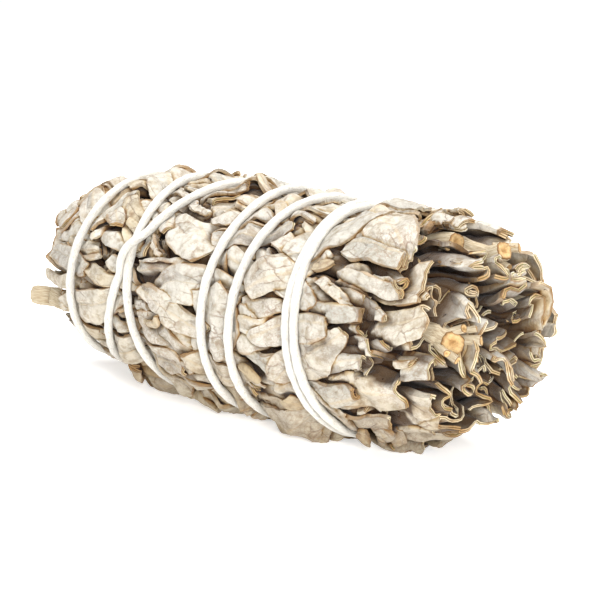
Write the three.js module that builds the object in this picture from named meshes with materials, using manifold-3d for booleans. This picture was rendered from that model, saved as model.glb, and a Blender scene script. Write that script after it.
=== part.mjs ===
// A dried sage bundle, wound with cotton string, lying on its side. Millimetres, +Z up.
// The origin is on the surface under the middle of the bundle; +X runs to the cut stems.
import * as THREE from 'three';
import { mergeVertices } from 'three/addons/utils/BufferGeometryUtils.js';
import Module from 'manifold-3d';

const wasm = await Module();
wasm.setup();

// ---------------------------------------------------------------- driving dimensions
const AXIS_HEIGHT = 20.9;        // middle of the bundle above the surface
const SAG = 2.2;                 // how far the underside settles where it lies
const END_RISE = 2.8;            // the stem end lifts clear of the surface by this
const SKIN = [[-52, 12.5], [-46, 14.6], [-42, 16.3], [-36, 18.1], [-25, 19.6], [0, 20.7], [23, 20.4],
  [33, 19.7], [40, 19.2], [45, 18.6], [50, 17.2], [54, 15.6], [58, 14.0]];   // x, outer radius
const NEAR_END = 56, FAR_END = -49;      // where the middle leaves are cut across
const BLADE = 0.62;              // thickness of a felted leaf
const MIDDLE_X = 3.4, MIDDLE_Y = 0.2;   // middle of the whole bundle, which is put over the origin
const GAP = 0.44;                // clearance kept between neighbouring pieces

const STRING_DIAMETER = 1.56;
const STRING_RADIUS = [20.1, 0.5, -3.94];   // winding radius a + b t + c t^2, with t = x / 50
const STRING_SIDES = 8, STRING_STEP = 26;   // sides, and degrees of turn for each step

// Sprigs: middle angle from the top round towards the front (-Y), and the woody stem's angle,
// distance from the axis, radius, and where it starts and stops
const SPRIGS = [
  { name: 'sprig_top', at: 8, stem: 3, out: 17.2, radius: 1.55, from: -30, to: 41 },
  { name: 'sprig_front', at: 68, stem: 73, out: 12.6, radius: 1.75, from: -40, to: 50.5 },
  { name: 'sprig_low_front', at: 124, stem: 115, out: 12.6, radius: 1.9, from: -52, to: 38 },
  { name: 'sprig_under', at: 180, stem: 180, out: 9, radius: 1.4, from: -36, to: 47 },
  { name: 'sprig_low_back', at: 232, stem: 236, out: 12, radius: 1.3, from: -40, to: 46 },
  { name: 'sprig_back', at: 284, stem: 280, out: 8, radius: 1.5, from: -38, to: 52 },
  { name: 'sprig_top_back', at: 334, stem: 343, out: 14.8, radius: 1.55, from: -34, to: 51 },
];

// ---------------------------------------------------------------- small helpers
const radians = (degrees) => degrees * Math.PI / 180;
const degrees = (angle) => angle * 180 / Math.PI;
const clamp = (v, low, high) => Math.min(Math.max(v, low), high);
const smooth = (t) => {
  const c = clamp(t, 0, 1);
  return c * c * (3 - 2 * c);
};

function randomDraws(seed) {
  let state = seed >>> 0;
  return () => {
    state = (state + 0x6D2B79F5) >>> 0;
    let t = state;
    t = Math.imul(t ^ (t >>> 15), t | 1) >>> 0;
    t = (((t + (Math.imul(t ^ (t >>> 7), t | 61) >>> 0)) >>> 0) ^ t) >>> 0;
    return ((t ^ (t >>> 14)) >>> 0) / 4294967296;
  };
}

const draw = randomDraws(11);
const between = (low, high) => low + (high - low) * draw();
const bell = (spread) => spread * (draw() + draw() + draw() - 1.5) * 2;

function alongTable(table, x) {
  if (x <= table[0][0]) return table[0][1];
  for (let i = 1; i < table.length; i++) {
    const [x0, y0] = table[i - 1], [x1, y1] = table[i];
    if (x <= x1) return y0 + (y1 - y0) * (x - x0) / (x1 - x0);
  }
  return table[table.length - 1][1];
}
const skin = (x) => alongTable(SKIN, x);
const nearCut = (r) => NEAR_END - 6 * (Math.min(r, 20.5) / 17) ** 6;
const farCut = (r) => FAR_END + 7 * (r / 15) ** 4;

// ---------------------------------------------------------------- the string's route
// Hand-set points of the winding: degrees turned round the bundle, and place along it. It winds
// up the bundle, lies double where it turns, and crosses itself at the back on its way to the knot.
const ROUTE = [[-128, -30.6], [-110, -32.6], [-90, -32.4], [-45, -27.4], [0, -21.2], [90, -17.8],
  [180, -14.6], [270, -5.9], [360, 2.8], [450, 2.1], [540, 1.2], [630, 9.6], [720, 19.2], [810, 22.3],
  [900, 25.2], [990, 23.8], [1080, 21.0], [1170, 24.1], [1260, 27.0], [1350, 20.4], [1440, 12.1],
  [1530, 9.0], [1620, 5.9], [1710, -1.6], [1800, -9.1], [1890, -22.25], [1980, -34.6], [2070, -36.9],
  [2160, -33.4], [2250, -35.9], [2340, -38.6], [2430, -34.0], [2450, -34.2], [2468, -36.6]];
const FIRST_TURN = ROUTE[0][0], LAST_TURN = ROUTE[ROUTE.length - 1][0];
const KNOT_TURNS = [-90, 2430];          // the two passes that the knot ties together
const CROSS_LIFT = 1.72, KNOT_LIFT = 1.5;
const WINDING = 20;                      // radius for lengths along the winding

function stringRadius(x) {
  const t = x / 50;
  return STRING_RADIUS[0] + STRING_RADIUS[1] * t + STRING_RADIUS[2] * t * t;
}

function routeSlope(i) {
  const before = Math.max(i - 1, 0), after = Math.min(i + 1, ROUTE.length - 1);
  return (ROUTE[after][1] - ROUTE[before][1]) / (ROUTE[after][0] - ROUTE[before][0]);
}

function routeX(turn) {
  let i = 0;
  while (i < ROUTE.length - 2 && turn >= ROUTE[i + 1][0]) i++;
  const [t0, x0] = ROUTE[i], [t1, x1] = ROUTE[i + 1];
  const span = t1 - t0, u = (turn - t0) / span;
  return (1 + 2 * u) * (1 - u) ** 2 * x0 + u * (1 - u) ** 2 * span * routeSlope(i)
    + u * u * (3 - 2 * u) * x1 + u * u * (u - 1) * span * routeSlope(i + 1);
}

function routeCrossings() {
  const found = [];
  for (let lap = 1; lap < 8; lap++) {
    for (let turn = FIRST_TURN + 360 * lap; turn + 1 <= LAST_TURN; turn++) {
      const here = routeX(turn) - routeX(turn - 360 * lap);
      const next = routeX(turn + 1) - routeX(turn + 1 - 360 * lap);
      if (here * next < 0) found.push(turn + here / (here - next));
    }
  }
  return found;
}
const CROSSINGS = routeCrossings();

function routeLift(turn) {
  let lift = 0;
  const away = (place) => radians(Math.abs(turn - place)) * WINDING;
  for (const place of CROSSINGS) lift = Math.max(lift, CROSS_LIFT * (1 - smooth((away(place) - 0.9) / 3.6)));
  for (const place of KNOT_TURNS) lift = Math.max(lift, KNOT_LIFT * (1 - smooth((away(place) - 2) / 6)));
  return lift;
}

// ---------------------------------------------------------------- the pile of leaves
// Leaves are laid one on another round the axis, loosely, and then pressed in by the string.
// The pile is a grid over the unrolled bundle that holds how far out it reaches.
const X_FIRST = -60, X_CELLS = 121, TURN_CELLS = 120;
const SPACING = 0.7;                     // room for one blade in the pile
const FULL = 1.45;                       // how loose the pile is before it is pressed
const LOOSE_STEM = 1.5;                  // the same for the stems
const SECTION = 31;                      // points across a leaf while it is laid

// Ways a dried leaf folds across its width: folds as [place in half widths, degrees, arc], an even
// curl in degrees, the lanes its facets run between, and whether it lies flat enough to be rooted
const FORMS = {
  arch: { folds: [], curl: -95, level: 'mean', lanes: [-1, 0, 1], rooted: true },
  cup: { folds: [], curl: 70, level: 'mean', lanes: [-1, 0, 1], rooted: true },
  fold: { folds: [[0, 163, 1.5]], curl: -25, level: -4, lanes: [-1, 0, 1] },
  zed: { folds: [[-0.36, 160, 1.5], [0.36, -160, 1.5]], curl: 0, level: 3, lanes: [-1, -0.36, 0.36, 1] },
  roll: { folds: [], curl: 470, level: 0, lanes: [-1, -0.5, 0, 0.5, 1], spiral: true },
  halfroll: { folds: [], curl: 250, level: 0, lanes: [-1, -0.3, 0.3, 1], spiral: true },
  margins: {
    folds: [[-0.66, -120, 2.6], [0.66, -120, 2.6]], curl: -35, level: 'mean', lanes: [-1, -0.6, 0.6, 1], rooted: true,
  },
  oneroll: { folds: [[0.45, -200, 3.2]], curl: -30, level: 'half', lanes: [-1, 0.1, 0.5, 1] },
  pleat: {
    folds: [[-0.5, 115, 1.4], [0, -125, 1.4], [0.5, 115, 1.4]], curl: 0, level: 'mean', lanes: [-1, -0.5, 0, 0.5, 1],
  },
};
const INNER = [['zed', 0.28], ['pleat', 0.2], ['roll', 0.14], ['fold', 0.3], ['halfroll', 0.04], ['margins', 0.04]];
const OUTER = [['margins', 0.26], ['arch', 0.2], ['fold', 0.19], ['roll', 0.09], ['oneroll', 0.13], ['cup', 0.05],
  ['zed', 0.08]];

const grid = (value) => new Float64Array(X_CELLS * TURN_CELLS).fill(value);
const pile = grid(2.6);
const press = grid(0);
const shrink = grid(1);
const wrap = (i) => ((i % TURN_CELLS) + TURN_CELLS) % TURN_CELLS;

function sample(cells, x, turn) {
  const fx = clamp(x - X_FIRST, 0, X_CELLS - 1.001);
  const ft = (((turn / 360 * TURN_CELLS) % TURN_CELLS) + TURN_CELLS) % TURN_CELLS;
  const ix = Math.floor(fx), it = Math.floor(ft) % TURN_CELLS, next = (it + 1) % TURN_CELLS;
  const ux = fx - ix, ut = ft - Math.floor(ft);
  const near = cells[ix * TURN_CELLS + it] * (1 - ux) + cells[(ix + 1) * TURN_CELLS + it] * ux;
  const far = cells[ix * TURN_CELLS + next] * (1 - ux) + cells[(ix + 1) * TURN_CELLS + next] * ux;
  return near * (1 - ut) + far * ut;
}

// The width of a leaf, and its section (b across, h up) at the share a of its length
function leafSection(leaf, a, places) {
  const form = FORMS[leaf.form];
  const tau = leaf.tip + (leaf.base - leaf.tip) * a;
  const half = 0.5 * leaf.width * Math.max(Math.sin(Math.PI * tau ** 0.85), 0.03) ** 0.62;
  const share = half / (0.5 * leaf.width);
  const shut = 1 - leaf.open * 0.5 * (1 - Math.cos(2 * Math.PI * (leaf.wave * a + leaf.phase)));
  const n = places.length, psi = new Array(n);
  for (let j = 0; j < n; j++) {
    const s = places[j];
    const bend = form.spiral ? ((s + 1) + 0.18 * (s + 1) ** 2) * share : s * (share * shut);
    psi[j] = radians(form.curl * leaf.curl) * 0.5 * bend;
    for (const [at, degreesOfTurn, arc] of form.folds) {
      psi[j] += radians(degreesOfTurn) * shut * smooth((half * s - (at + leaf.shift) * half) / arc + 0.5);
    }
  }
  const mean = (count) => psi.slice(0, count).reduce((sum, v) => sum + v, 0) / count;
  let level = radians(form.level);
  if (form.level === 'mean') level = -mean(n);
  if (form.level === 'half') level = -mean(Math.floor(n / 2));
  const b = new Array(n).fill(0), h = new Array(n).fill(0);
  for (let j = 1; j < n; j++) {
    const mid = 0.5 * (psi[j] + psi[j - 1]) + level + radians(leaf.tilt);
    const step = half * (places[j] - places[j - 1]);
    b[j] = b[j - 1] + Math.cos(mid) * step;
    h[j] = h[j - 1] + Math.sin(mid) * step;
  }
  const middle = 0.5 * (Math.max(...b) + Math.min(...b)), floor = Math.min(...h);
  for (let j = 0; j < n; j++) {
    b[j] = (b[j] - middle) * (leaf.mirror ? -1 : 1);
    h[j] -= floor;
  }
  return { b, h };
}
const evenPlaces = (n) => Array.from({ length: n }, (_, j) => -1 + 2 * j / (n - 1));
const SECTION_PLACES = evenPlaces(SECTION);

// The leaf's middle line in the unrolled pile, one point for each row
function leafLine(leaf) {
  const { rows, length } = leaf, line = [];
  let x = 0, v = 0;
  const heading = (i) => radians(leaf.head) + radians(leaf.bend) * (i / rows - 0.5);
  for (let i = 0; i <= rows; i++) {
    if (i > 0) {
      x += 0.5 * (Math.cos(heading(i)) + Math.cos(heading(i - 1))) * length / rows;
      v += 0.5 * (Math.sin(heading(i)) + Math.sin(heading(i - 1))) * length / rows;
    }
    const a = length * i / rows;
    let lean = Math.sin(heading(i));
    if (leaf.near) lean *= 1 - smooth((a - (length - 12)) / 12);
    if (leaf.far) lean *= 1 - smooth((12 - a) / 12);
    line.push({ x, v, dx: Math.cos(heading(i)), lean });
  }
  const mid = betweenRows(line, rows / 2);
  for (const point of line) {
    point.x += leaf.x - mid.x;
    point.v -= mid.v;
  }
  return line;
}

function betweenRows(line, row) {
  const i = Math.min(Math.floor(row), line.length - 2), u = row - i, p = line[i], q = line[i + 1];
  const mix = (key) => p[key] * (1 - u) + q[key] * u;
  return { x: mix('x'), v: mix('v'), dx: mix('dx'), lean: mix('lean') };
}

// Drape a leaf over the pile: its bed is a stiff sheet that sags on to what is under it
function layLeaf(leaf) {
  const { rows } = leaf;
  const line = leafLine(leaf);
  const sections = line.map((_, i) => leafSection(leaf, i / rows, SECTION_PLACES));
  const lowB = Math.min(...sections.map((s) => Math.min(...s.b))) - 0.4;
  const highB = Math.max(...sections.map((s) => Math.max(...s.b))) + 0.4;
  const lanes = Math.max(4, Math.floor((highB - lowB) / 1.2 + 0.5)), step = (highB - lowB) / lanes;
  const under = line.map((p, i) => Array.from({ length: lanes + 1 }, (_, k) => {
    const at = lowB + step * k;
    let low = 99;
    sections[i].b.forEach((b, j) => {
      if (Math.abs(b - at) <= 0.8 * step) low = Math.min(low, sections[i].h[j]);
    });
    const turn = leaf.turn + degrees((p.v + at * p.dx) / leaf.reach);
    return sample(pile, p.x - at * p.lean, turn) - low + SPACING * 0.5;
  }));
  let tops = under.map((row) => Math.max(...row));
  for (let pass = 0; pass < 2; pass++) {
    tops = tops.map((t, i) => Math.max(t, Math.max(tops[Math.min(i + 1, rows)], tops[Math.max(i - 1, 0)]) - 0.6));
  }
  let bed = tops.map((t) => new Array(lanes + 1).fill(t));
  const around = (i, k) => bed[Math.max(i - 1, 0)][k] + bed[Math.min(i + 1, rows)][k]
    + bed[i][Math.max(k - 1, 0)] + bed[i][Math.min(k + 1, lanes)];
  for (let pass = 0; pass < leaf.soft; pass++) {
    bed = bed.map((row, i) => row.map((e, k) => Math.max(under[i][k], (around(i, k) + 2 * e) / 6 - leaf.sag)));
  }
  bed = bed.map((row, i) => row.map((e, k) => (around(i, k) + 4 * e) / 8));
  Object.assign(leaf, { line, bed, lowB, step });
  raisePile(leaf, sections, lanes);
}

function raisePile(leaf, sections, lanes) {
  const { rows, bed } = leaf;
  for (let m = 0; m <= rows * 3; m++) {
    const i = Math.min(Math.floor(m / 3), rows - 1), u = m / 3 - i;
    const p = betweenRows(leaf.line, m / 3), low = bed[i], high = bed[i + 1];
    for (let n = 0; n <= (SECTION - 1) * 2; n++) {
      const j = Math.min(Math.floor(n / 2), SECTION - 2), w = n / 2 - j;
      const mix = (key) => (sections[i][key][j] * (1 - u) + sections[i + 1][key][j] * u) * (1 - w)
        + (sections[i][key][j + 1] * (1 - u) + sections[i + 1][key][j + 1] * u) * w;
      const b = mix('b'), f = (b - leaf.lowB) / leaf.step, k = clamp(Math.trunc(f), 0, lanes - 1), q = f - k;
      const e = (low[k] * (1 - u) + high[k] * u) * (1 - q) + (low[k + 1] * (1 - u) + high[k + 1] * u) * q;
      const r = e + mix('h') + 0.5 * SPACING;
      const ix = clamp(Math.floor(p.x - b * p.lean - X_FIRST + 0.5), 0, X_CELLS - 1);
      const turn = leaf.turn + degrees((p.v + b * p.dx) / leaf.reach);
      const cell = ix * TURN_CELLS + wrap(Math.floor(turn / 360 * TURN_CELLS + 0.5));
      pile[cell] = Math.max(pile[cell], r);
    }
  }
}

function pick(table) {
  const u = draw(), total = table.reduce((sum, row) => sum + row[1], 0);
  let share = 0;
  for (const [name, part] of table) {
    share += part / total;
    if (u < share) return name;
  }
  return table[table.length - 1][0];
}

function makeLeaf(x, turn, out) {
  const r = out / FULL, outer = r > 13, skinny = r > 15.5;
  const leaf = { turn, r, near: false, far: false, form: pick(outer ? OUTER : INNER) };
  leaf.head = bell(outer ? 20 : 7);
  if (outer && x < 26 && draw() < 0.3) leaf.head += between(22, 48) * (draw() < 0.5 ? 1 : -1);
  leaf.bend = bell(22);
  const length = skinny ? between(17, 30) : outer ? between(26, 40) : between(34, 50);
  leaf.width = skinny ? between(8.5, 13) : r < 9 ? between(9, 12.5) : between(11, 16);
  if (['fold', 'roll', 'zed'].includes(leaf.form)) leaf.width += 2.5;
  const cut = nearCut(r + 0.7) + bell(1.5) - (r > 16.5 ? 16 : r > 11 ? 6 : 3) * draw() ** 1.3;
  const far = farCut(r) + bell(1.5);
  leaf.tip = 0.05;
  leaf.base = 0.97;
  let x1 = x - length / 2, x2 = x + length / 2;
  if (x2 > cut - (outer ? 6 : 16)) {
    x2 = cut;
    leaf.base = between(0.6, 0.82);
    leaf.near = true;
  }
  if (x1 < far + 4) {
    x1 = far;
    leaf.tip = between(0.1, 0.3);
    leaf.far = true;
  }
  leaf.x = 0.5 * (x1 + x2);
  leaf.length = leaf.near || leaf.far ? (x2 - x1) / Math.max(0.55, Math.cos(radians(leaf.head))) : length;
  leaf.rows = Math.max(8, Math.floor(leaf.length / 2 + 0.5));
  leaf.open = between(0.02, 0.16);
  leaf.wave = between(0.6, 1.6);
  leaf.phase = draw();
  leaf.curl = between(0.7, 1.25);
  leaf.tilt = bell(7);
  leaf.mirror = draw() < 0.5;
  leaf.shift = bell(0.12);
  leaf.soft = Math.floor(between(14, 40)) + (r < 9 ? 30 : 0);
  leaf.sag = between(0.05, 0.2);
  leaf.reach = Math.max(3.2, out + 1.5);
  leaf.short = x2 - x1 < 12;
  return leaf;
}

function stemReady(sprig) {
  let sum = 0;
  for (let i = 0; i < 12; i++) sum += sample(pile, sprig.from + (sprig.to - sprig.from) * i / 11, sprig.stem);
  return sum / 12 >= (sprig.out - sprig.radius) * LOOSE_STEM;
}

function layStem(sprig) {
  const reach = sprig.out * LOOSE_STEM, thick = sprig.radius * LOOSE_STEM;
  for (let ix = 0; ix < X_CELLS; ix++) {
    if (X_FIRST + ix < sprig.from || X_FIRST + ix > sprig.to) continue;
    for (let it = 0; it < TURN_CELLS; it++) {
      const away = (((it * 360 / TURN_CELLS - sprig.stem + 180) % 360) + 360) % 360 - 180;
      const v = radians(away) * reach, cell = ix * TURN_CELLS + it;
      if (Math.abs(v) < thick) pile[cell] = Math.max(pile[cell], reach + Math.sqrt(thick * thick - v * v) + 0.3);
    }
  }
}

// Lay leaves where the pile is lowest until it is full
function layAll() {
  const leaves = [];
  let waiting = [...SPRIGS];
  for (let tries = 0; tries < 420; tries++) {
    for (const sprig of waiting.filter(stemReady)) {
      layStem(sprig);
      waiting = waiting.filter((other) => other !== sprig);
    }
    let best = null;
    for (let i = 0; i < 14; i++) {
      const x = between(-46, 52), turn = between(0, 360);
      const spots = [[-4, 0], [0, 0], [0, 10], [0, -10], [4, 0], [0, 0]];
      const out = spots.reduce((sum, [dx, dt]) => sum + sample(pile, x + dx, turn + dt), 0) / spots.length;
      const score = out / skin(x) + 0.03 * draw();
      if (!best || score < best.score) best = { score, x, turn, out };
    }
    if (best.score > FULL) break;
    const leaf = makeLeaf(best.x, best.turn, best.out);
    if (leaf.short) continue;
    layLeaf(leaf);
    leaves.push(leaf);
  }
  return leaves;
}

// ---------------------------------------------------------------- from the loose pile to the bundle
function smoothedPile() {
  let cells = Float64Array.from(pile);
  for (let pass = 0; pass < 14; pass++) {
    const round = cells.map((v, i) => {
      const row = Math.floor(i / TURN_CELLS) * TURN_CELLS, it = i - row;
      return (cells[row + wrap(it - 1)] + cells[row + wrap(it + 1)] + 2 * v) / 4;
    });
    const last = (X_CELLS - 1) * TURN_CELLS;
    cells = round.map((v, i) => {
      const before = i < TURN_CELLS ? v : round[i - TURN_CELLS], after = i >= last ? v : round[i + TURN_CELLS];
      return (before + after + 2 * v) / 4;
    });
  }
  return cells;
}

// How far each place is pressed in to reach the skin, and how near it is to the string
function fillPressMaps() {
  const level = smoothedPile();
  for (let ix = 0; ix < X_CELLS; ix++) {
    for (let it = 0; it < TURN_CELLS; it++) {
      const cell = ix * TURN_CELLS + it;
      shrink[cell] = skin(X_FIRST + ix) / (level[cell] * 1.06);
    }
  }
  for (let turn = FIRST_TURN; turn <= LAST_TURN + 0.1; turn += 3) {
    const x = routeX(turn);
    const low = Math.max(0, Math.ceil(x - X_FIRST - 12)), high = Math.min(X_CELLS - 1, x - X_FIRST + 12);
    for (let ix = low; ix <= high; ix++) {
      for (let it = 0; it < TURN_CELLS; it++) {
        const away = (((it * 360 / TURN_CELLS - turn + 180) % 360) + 360) % 360 - 180;
        const square = (X_FIRST + ix - x) ** 2 + (radians(away) * WINDING) ** 2;
        const cell = ix * TURN_CELLS + it;
        press[cell] = Math.max(press[cell], Math.exp(-square / 3.2 ** 2));
      }
    }
  }
}

// A shared bend of the whole bundle in gentle waves, and swirls among the leaves at its two ends
const WAVE_SIZES = [[17, 0.5], [13, 0.45], [11, 0.4], [9, 0.34], [7.5, 0.26], [6.5, 0.22], [5.2, 0.16], [4.4, 0.13]];
const WAVE_SHARE = 0.5;
const waves = [], swirls = [];
function drawWaves() {
  const wild = randomDraws(77);
  const direction = (flat) => {
    const u = 2 * wild() - 1, v = 2 * Math.PI * wild(), q = Math.sqrt(1 - u * u);
    return new THREE.Vector3(u * flat, q * Math.cos(v), q * Math.sin(v));
  };
  for (const [length, size] of WAVE_SIZES) {
    for (let i = 0; i < 3; i++) {
      const along = direction(0.75).normalize().multiplyScalar(2 * Math.PI / length);
      const move = direction(1).multiplyScalar(size);
      waves.push({ along, move, phase: 2 * Math.PI * wild() });
    }
  }
  for (let k = 0; k < 9; k++) {
    const at = 2 * Math.PI * (k + 0.3 * wild()) / 9, out = 5 + 8.5 * wild(), radius = 3.2 + 2.6 * wild();
    const turn = radians(35 + 50 * wild()) * (wild() < 0.5 ? 1 : -1);
    swirls.push({ y: -out * Math.sin(at), z: out * Math.cos(at), radius, turn });
  }
}

// Distance from the axis once the pile is pressed in to the skin, and pressed further under the string
function pressedIn(x, turn, loose) {
  const f = sample(shrink, x, turn), p = sample(press, x, turn);
  const r = loose * f;
  const top = Math.max(sample(pile, x, turn) * f, r);
  const limit = skin(x) * (1 + 0.04 * (1 - p)) - 1.55 * p + (1 - p) * 0.9, core = limit - 5;
  if (top <= limit || r <= core) return r;
  return core + (r - core) * (limit - core) / Math.max(top - core, 1e-6);
}

function bent(point, x, turn) {
  const still = 1 - 0.75 * sample(press, x, turn), moved = point.clone();
  for (const { along, move, phase } of waves) {
    moved.addScaledVector(move, Math.sin(point.dot(along) + phase) * WAVE_SHARE * still);
  }
  moved.z += AXIS_HEIGHT + END_RISE * smooth((x - 28) / 26);
  moved.z -= SAG * (1 - smooth(moved.z / 7));
  return moved;
}

function place(x, turn, loose) {
  const r = pressedIn(x, turn, loose);
  let y = -r * Math.sin(radians(turn)), z = r * Math.cos(radians(turn));
  const ramp = smooth((x - 25) / 16) + smooth((-x - 38) / 10);
  for (const swirl of swirls) {
    const dy = y - swirl.y, dz = z - swirl.z;
    const g = swirl.turn * ramp * Math.exp(-(dy * dy + dz * dz) / swirl.radius ** 2);
    y = swirl.y + dy * Math.cos(g) - dz * Math.sin(g);
    z = swirl.z + dy * Math.sin(g) + dz * Math.cos(g);
  }
  return bent(new THREE.Vector3(x, y, z), x, turn);
}

function splineWeights(f) {
  const i = Math.floor(f), u = f - i;
  const before = (3 * u ** 3 - 6 * u ** 2 + 4) / 6, after = (-3 * u ** 3 + 3 * u ** 2 + 3 * u + 1) / 6;
  return [i, [(1 - u) ** 3 / 6, before, after, u ** 3 / 6]];
}

function bedHeight(leaf, row, b) {
  const [i, wi] = splineWeights(row), [j, wj] = splineWeights((b - leaf.lowB) / leaf.step);
  const { bed } = leaf, lastLane = bed[0].length - 1;
  let sum = 0;
  for (let m = 0; m < 4; m++) {
    for (let n = 0; n < 4; n++) {
      sum += wi[m] * wj[n] * bed[clamp(i + m - 1, 0, leaf.rows)][clamp(j + n - 1, 0, lastLane)];
    }
  }
  return sum;
}

// Points of a leaf's middle surface at the share a of its length, across its lanes
function leafRow(leaf, a, lanes) {
  const section = leafSection(leaf, a, SECTION_PLACES), p = betweenRows(leaf.line, a * leaf.rows);
  return lanes.map((lane) => {
    const j = clamp((lane + 1) / 2 * (SECTION - 1), 0, SECTION - 1.001), i = Math.floor(j), u = j - i;
    const b = section.b[i] * (1 - u) + section.b[i + 1] * u, h = section.h[i] * (1 - u) + section.h[i + 1] * u;
    const turn = leaf.turn + degrees((p.v + b * p.dx) / leaf.reach);
    return { x: p.x - b * p.lean, turn, r: bedHeight(leaf, a * leaf.rows, b) + h };
  });
}

// ---------------------------------------------------------------- solids
function toManifold(geometry) {
  const bare = geometry.index ? geometry.toNonIndexed() : geometry.clone();
  bare.deleteAttribute('normal');
  bare.deleteAttribute('uv');
  const merged = mergeVertices(bare, 1e-3);
  return new wasm.Manifold(new wasm.Mesh({
    numProp: 3,
    vertProperties: Float32Array.from(merged.attributes.position.array),
    triVerts: Uint32Array.from(merged.index.array),
  }));
}

function solidFrom(points, triangles) {
  const solid = new wasm.Manifold(new wasm.Mesh({
    numProp: 3,
    vertProperties: Float32Array.from(points.flatMap((p) => [p.x, p.y, p.z])),
    triVerts: Uint32Array.from(triangles.flat()),
  }));
  return solid.volume() > 0 ? solid : solidFrom(points, triangles.map(([a, b, c]) => [a, c, b]));
}

// A closed blade round a grid of middle points: folds are mitred inside and kept blunt outside
function bladeSolid(rows, roots) {
  const n = rows.length, m = rows[0].length, half = BLADE / 2;
  const upper = [], lower = [];
  const middleRow = rows[Math.floor(n / 2)], lane = Math.floor(m / 2), middle = middleRow[lane];
  const across = middleRow[m - 1].clone().sub(middleRow[0]), length = rows[n - 1][lane].clone().sub(rows[0][lane]);
  const upwards = length.cross(across).dot(new THREE.Vector3(0, middle.y, middle.z - AXIS_HEIGHT));
  for (let i = 0; i < n; i++) {
    for (let j = 0; j < m; j++) {
      const p = rows[i][j];
      const run = rows[Math.min(i + 1, n - 1)][j].clone().sub(rows[Math.max(i - 1, 0)][j]).normalize();
      const before = j > 0 ? p.clone().sub(rows[i][j - 1]) : null;
      const after = j < m - 1 ? rows[i][j + 1].clone().sub(p) : null;
      const normal = (side) => run.clone().cross(side).normalize();
      const first = normal(before ?? after), second = normal(after ?? before);
      const mitre = first.clone().add(second).normalize();
      const opening = Math.max(0.12, mitre.dot(first));
      const turned = before && after ? before.clone().cross(after).dot(run) : 0;
      const reach = before && after ? 0.42 * Math.min(before.length(), after.length()) : half;
      const inside = Math.max(half, Math.min(half / opening, reach));
      const outside = Math.min(half * 1.15, half / opening);
      const up = p.clone().addScaledVector(mitre, turned > 0 ? inside : outside);
      const down = p.clone().addScaledVector(mitre, turned > 0 ? -outside : -inside);
      const out = new THREE.Vector3(0, p.y, p.z - AXIS_HEIGHT).normalize();
      if (roots[i][j] > 0) (upwards > 0 ? down : up).addScaledVector(out, -roots[i][j]);
      upper.push(up);
      lower.push(down);
    }
  }
  const points = [...upper, ...lower], triangles = [];
  const up = (i, j) => i * m + j, down = (i, j) => n * m + i * m + j;
  const quad = (a, b, c, d) => triangles.push([a, b, c], [a, c, d]);
  for (let i = 0; i < n - 1; i++) {
    for (let j = 0; j < m - 1; j++) {
      quad(up(i, j), up(i + 1, j), up(i + 1, j + 1), up(i, j + 1));
      triangles.push([down(i, j), down(i + 1, j + 1), down(i + 1, j)]);
      triangles.push([down(i, j), down(i, j + 1), down(i + 1, j + 1)]);
    }
    quad(up(i + 1, 0), up(i, 0), down(i, 0), down(i + 1, 0));
    quad(up(i, m - 1), up(i + 1, m - 1), down(i + 1, m - 1), down(i, m - 1));
  }
  for (let j = 0; j < m - 1; j++) {
    quad(up(0, j), up(0, j + 1), down(0, j + 1), down(0, j));
    quad(up(n - 1, j + 1), up(n - 1, j), down(n - 1, j), down(n - 1, j + 1));
  }
  return solidFrom(points, triangles);
}

// ---------------------------------------------------------------- leaves as solids
const OUTER_SHARE = 0.94;        // a leaf this far out in the pile, or further, is modelled whole
const CORE_DEPTH = 2.0;          // packed middle of the bundle, below the outer leaves
const CORE_BELOW_STRING = 2.1;
const CORE_ENDS = [-44, 42];     // past these the inner leaves stand out on their own
const LEAF_STEP = 10;            // length of one straight facet of a leaf
const ROOTS = [4, 34, 7, -38, 6];   // deepest root; roots fade out from x by this much, at each end

function leafDepth(leaf) {
  let sum = 0, count = 0;
  for (let i = 0; i <= 4; i++) {
    for (const { x, turn, r } of leafRow(leaf, i / 4, [-0.6, 0, 0.6])) {
      sum += r / Math.max(sample(pile, x, turn), r);
      count++;
    }
  }
  return sum / count;
}

// How thick a leaf is made at a point: it's rooted in the core, and a single blade past the core's ends
function rootDepth(point) {
  const [deepest, near, nearFade, far, farFade] = ROOTS;
  const height = Math.hypot(point.y, point.z - AXIS_HEIGHT - END_RISE * smooth((point.x - 28) / 26));
  const inside = 1 - smooth((point.x - near) / nearFade) - smooth((far - point.x) / farFade);
  return clamp(height - skin(point.x) + deepest, 0, deepest) * inside;
}

function leafSolid(leaf, start, stop) {
  const { lanes, rooted } = FORMS[leaf.form];
  const steps = Math.max(1, Math.round(leaf.length * (stop - start) / LEAF_STEP));
  const rows = [], roots = [];
  for (let i = 0; i <= steps; i++) {
    const a = start + (stop - start) * i / steps;
    const row = leafRow(leaf, a, lanes).map(({ x, turn, r }) => place(x, turn, r));
    rows.push(row);
    roots.push(row.map((point) => (rooted ? rootDepth(point) : 0)));
  }
  return bladeSolid(rows, roots);
}

// The end of an inner leaf that stands out past the core
function leafEnd(leaf) {
  const startX = leafRow(leaf, 0, [0])[0].x, stopX = leafRow(leaf, 1, [0])[0].x;
  const share = (x) => clamp((x - startX) / (stopX - startX), 0, 1);
  for (const [x, sign] of [[CORE_ENDS[1] - 3, 1], [CORE_ENDS[0] + 3, -1]]) {
    const furthest = sign * Math.max(sign * startX, sign * stopX);
    if (sign * (furthest - x) < 6) continue;
    const cut = share(x);
    if (sign * startX > sign * x && sign * stopX > sign * x) return leafSolid(leaf, 0, 1);
    return sign * (stopX - startX) > 0 ? leafSolid(leaf, cut, 1) : leafSolid(leaf, 0, cut);
  }
  return null;
}

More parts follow.
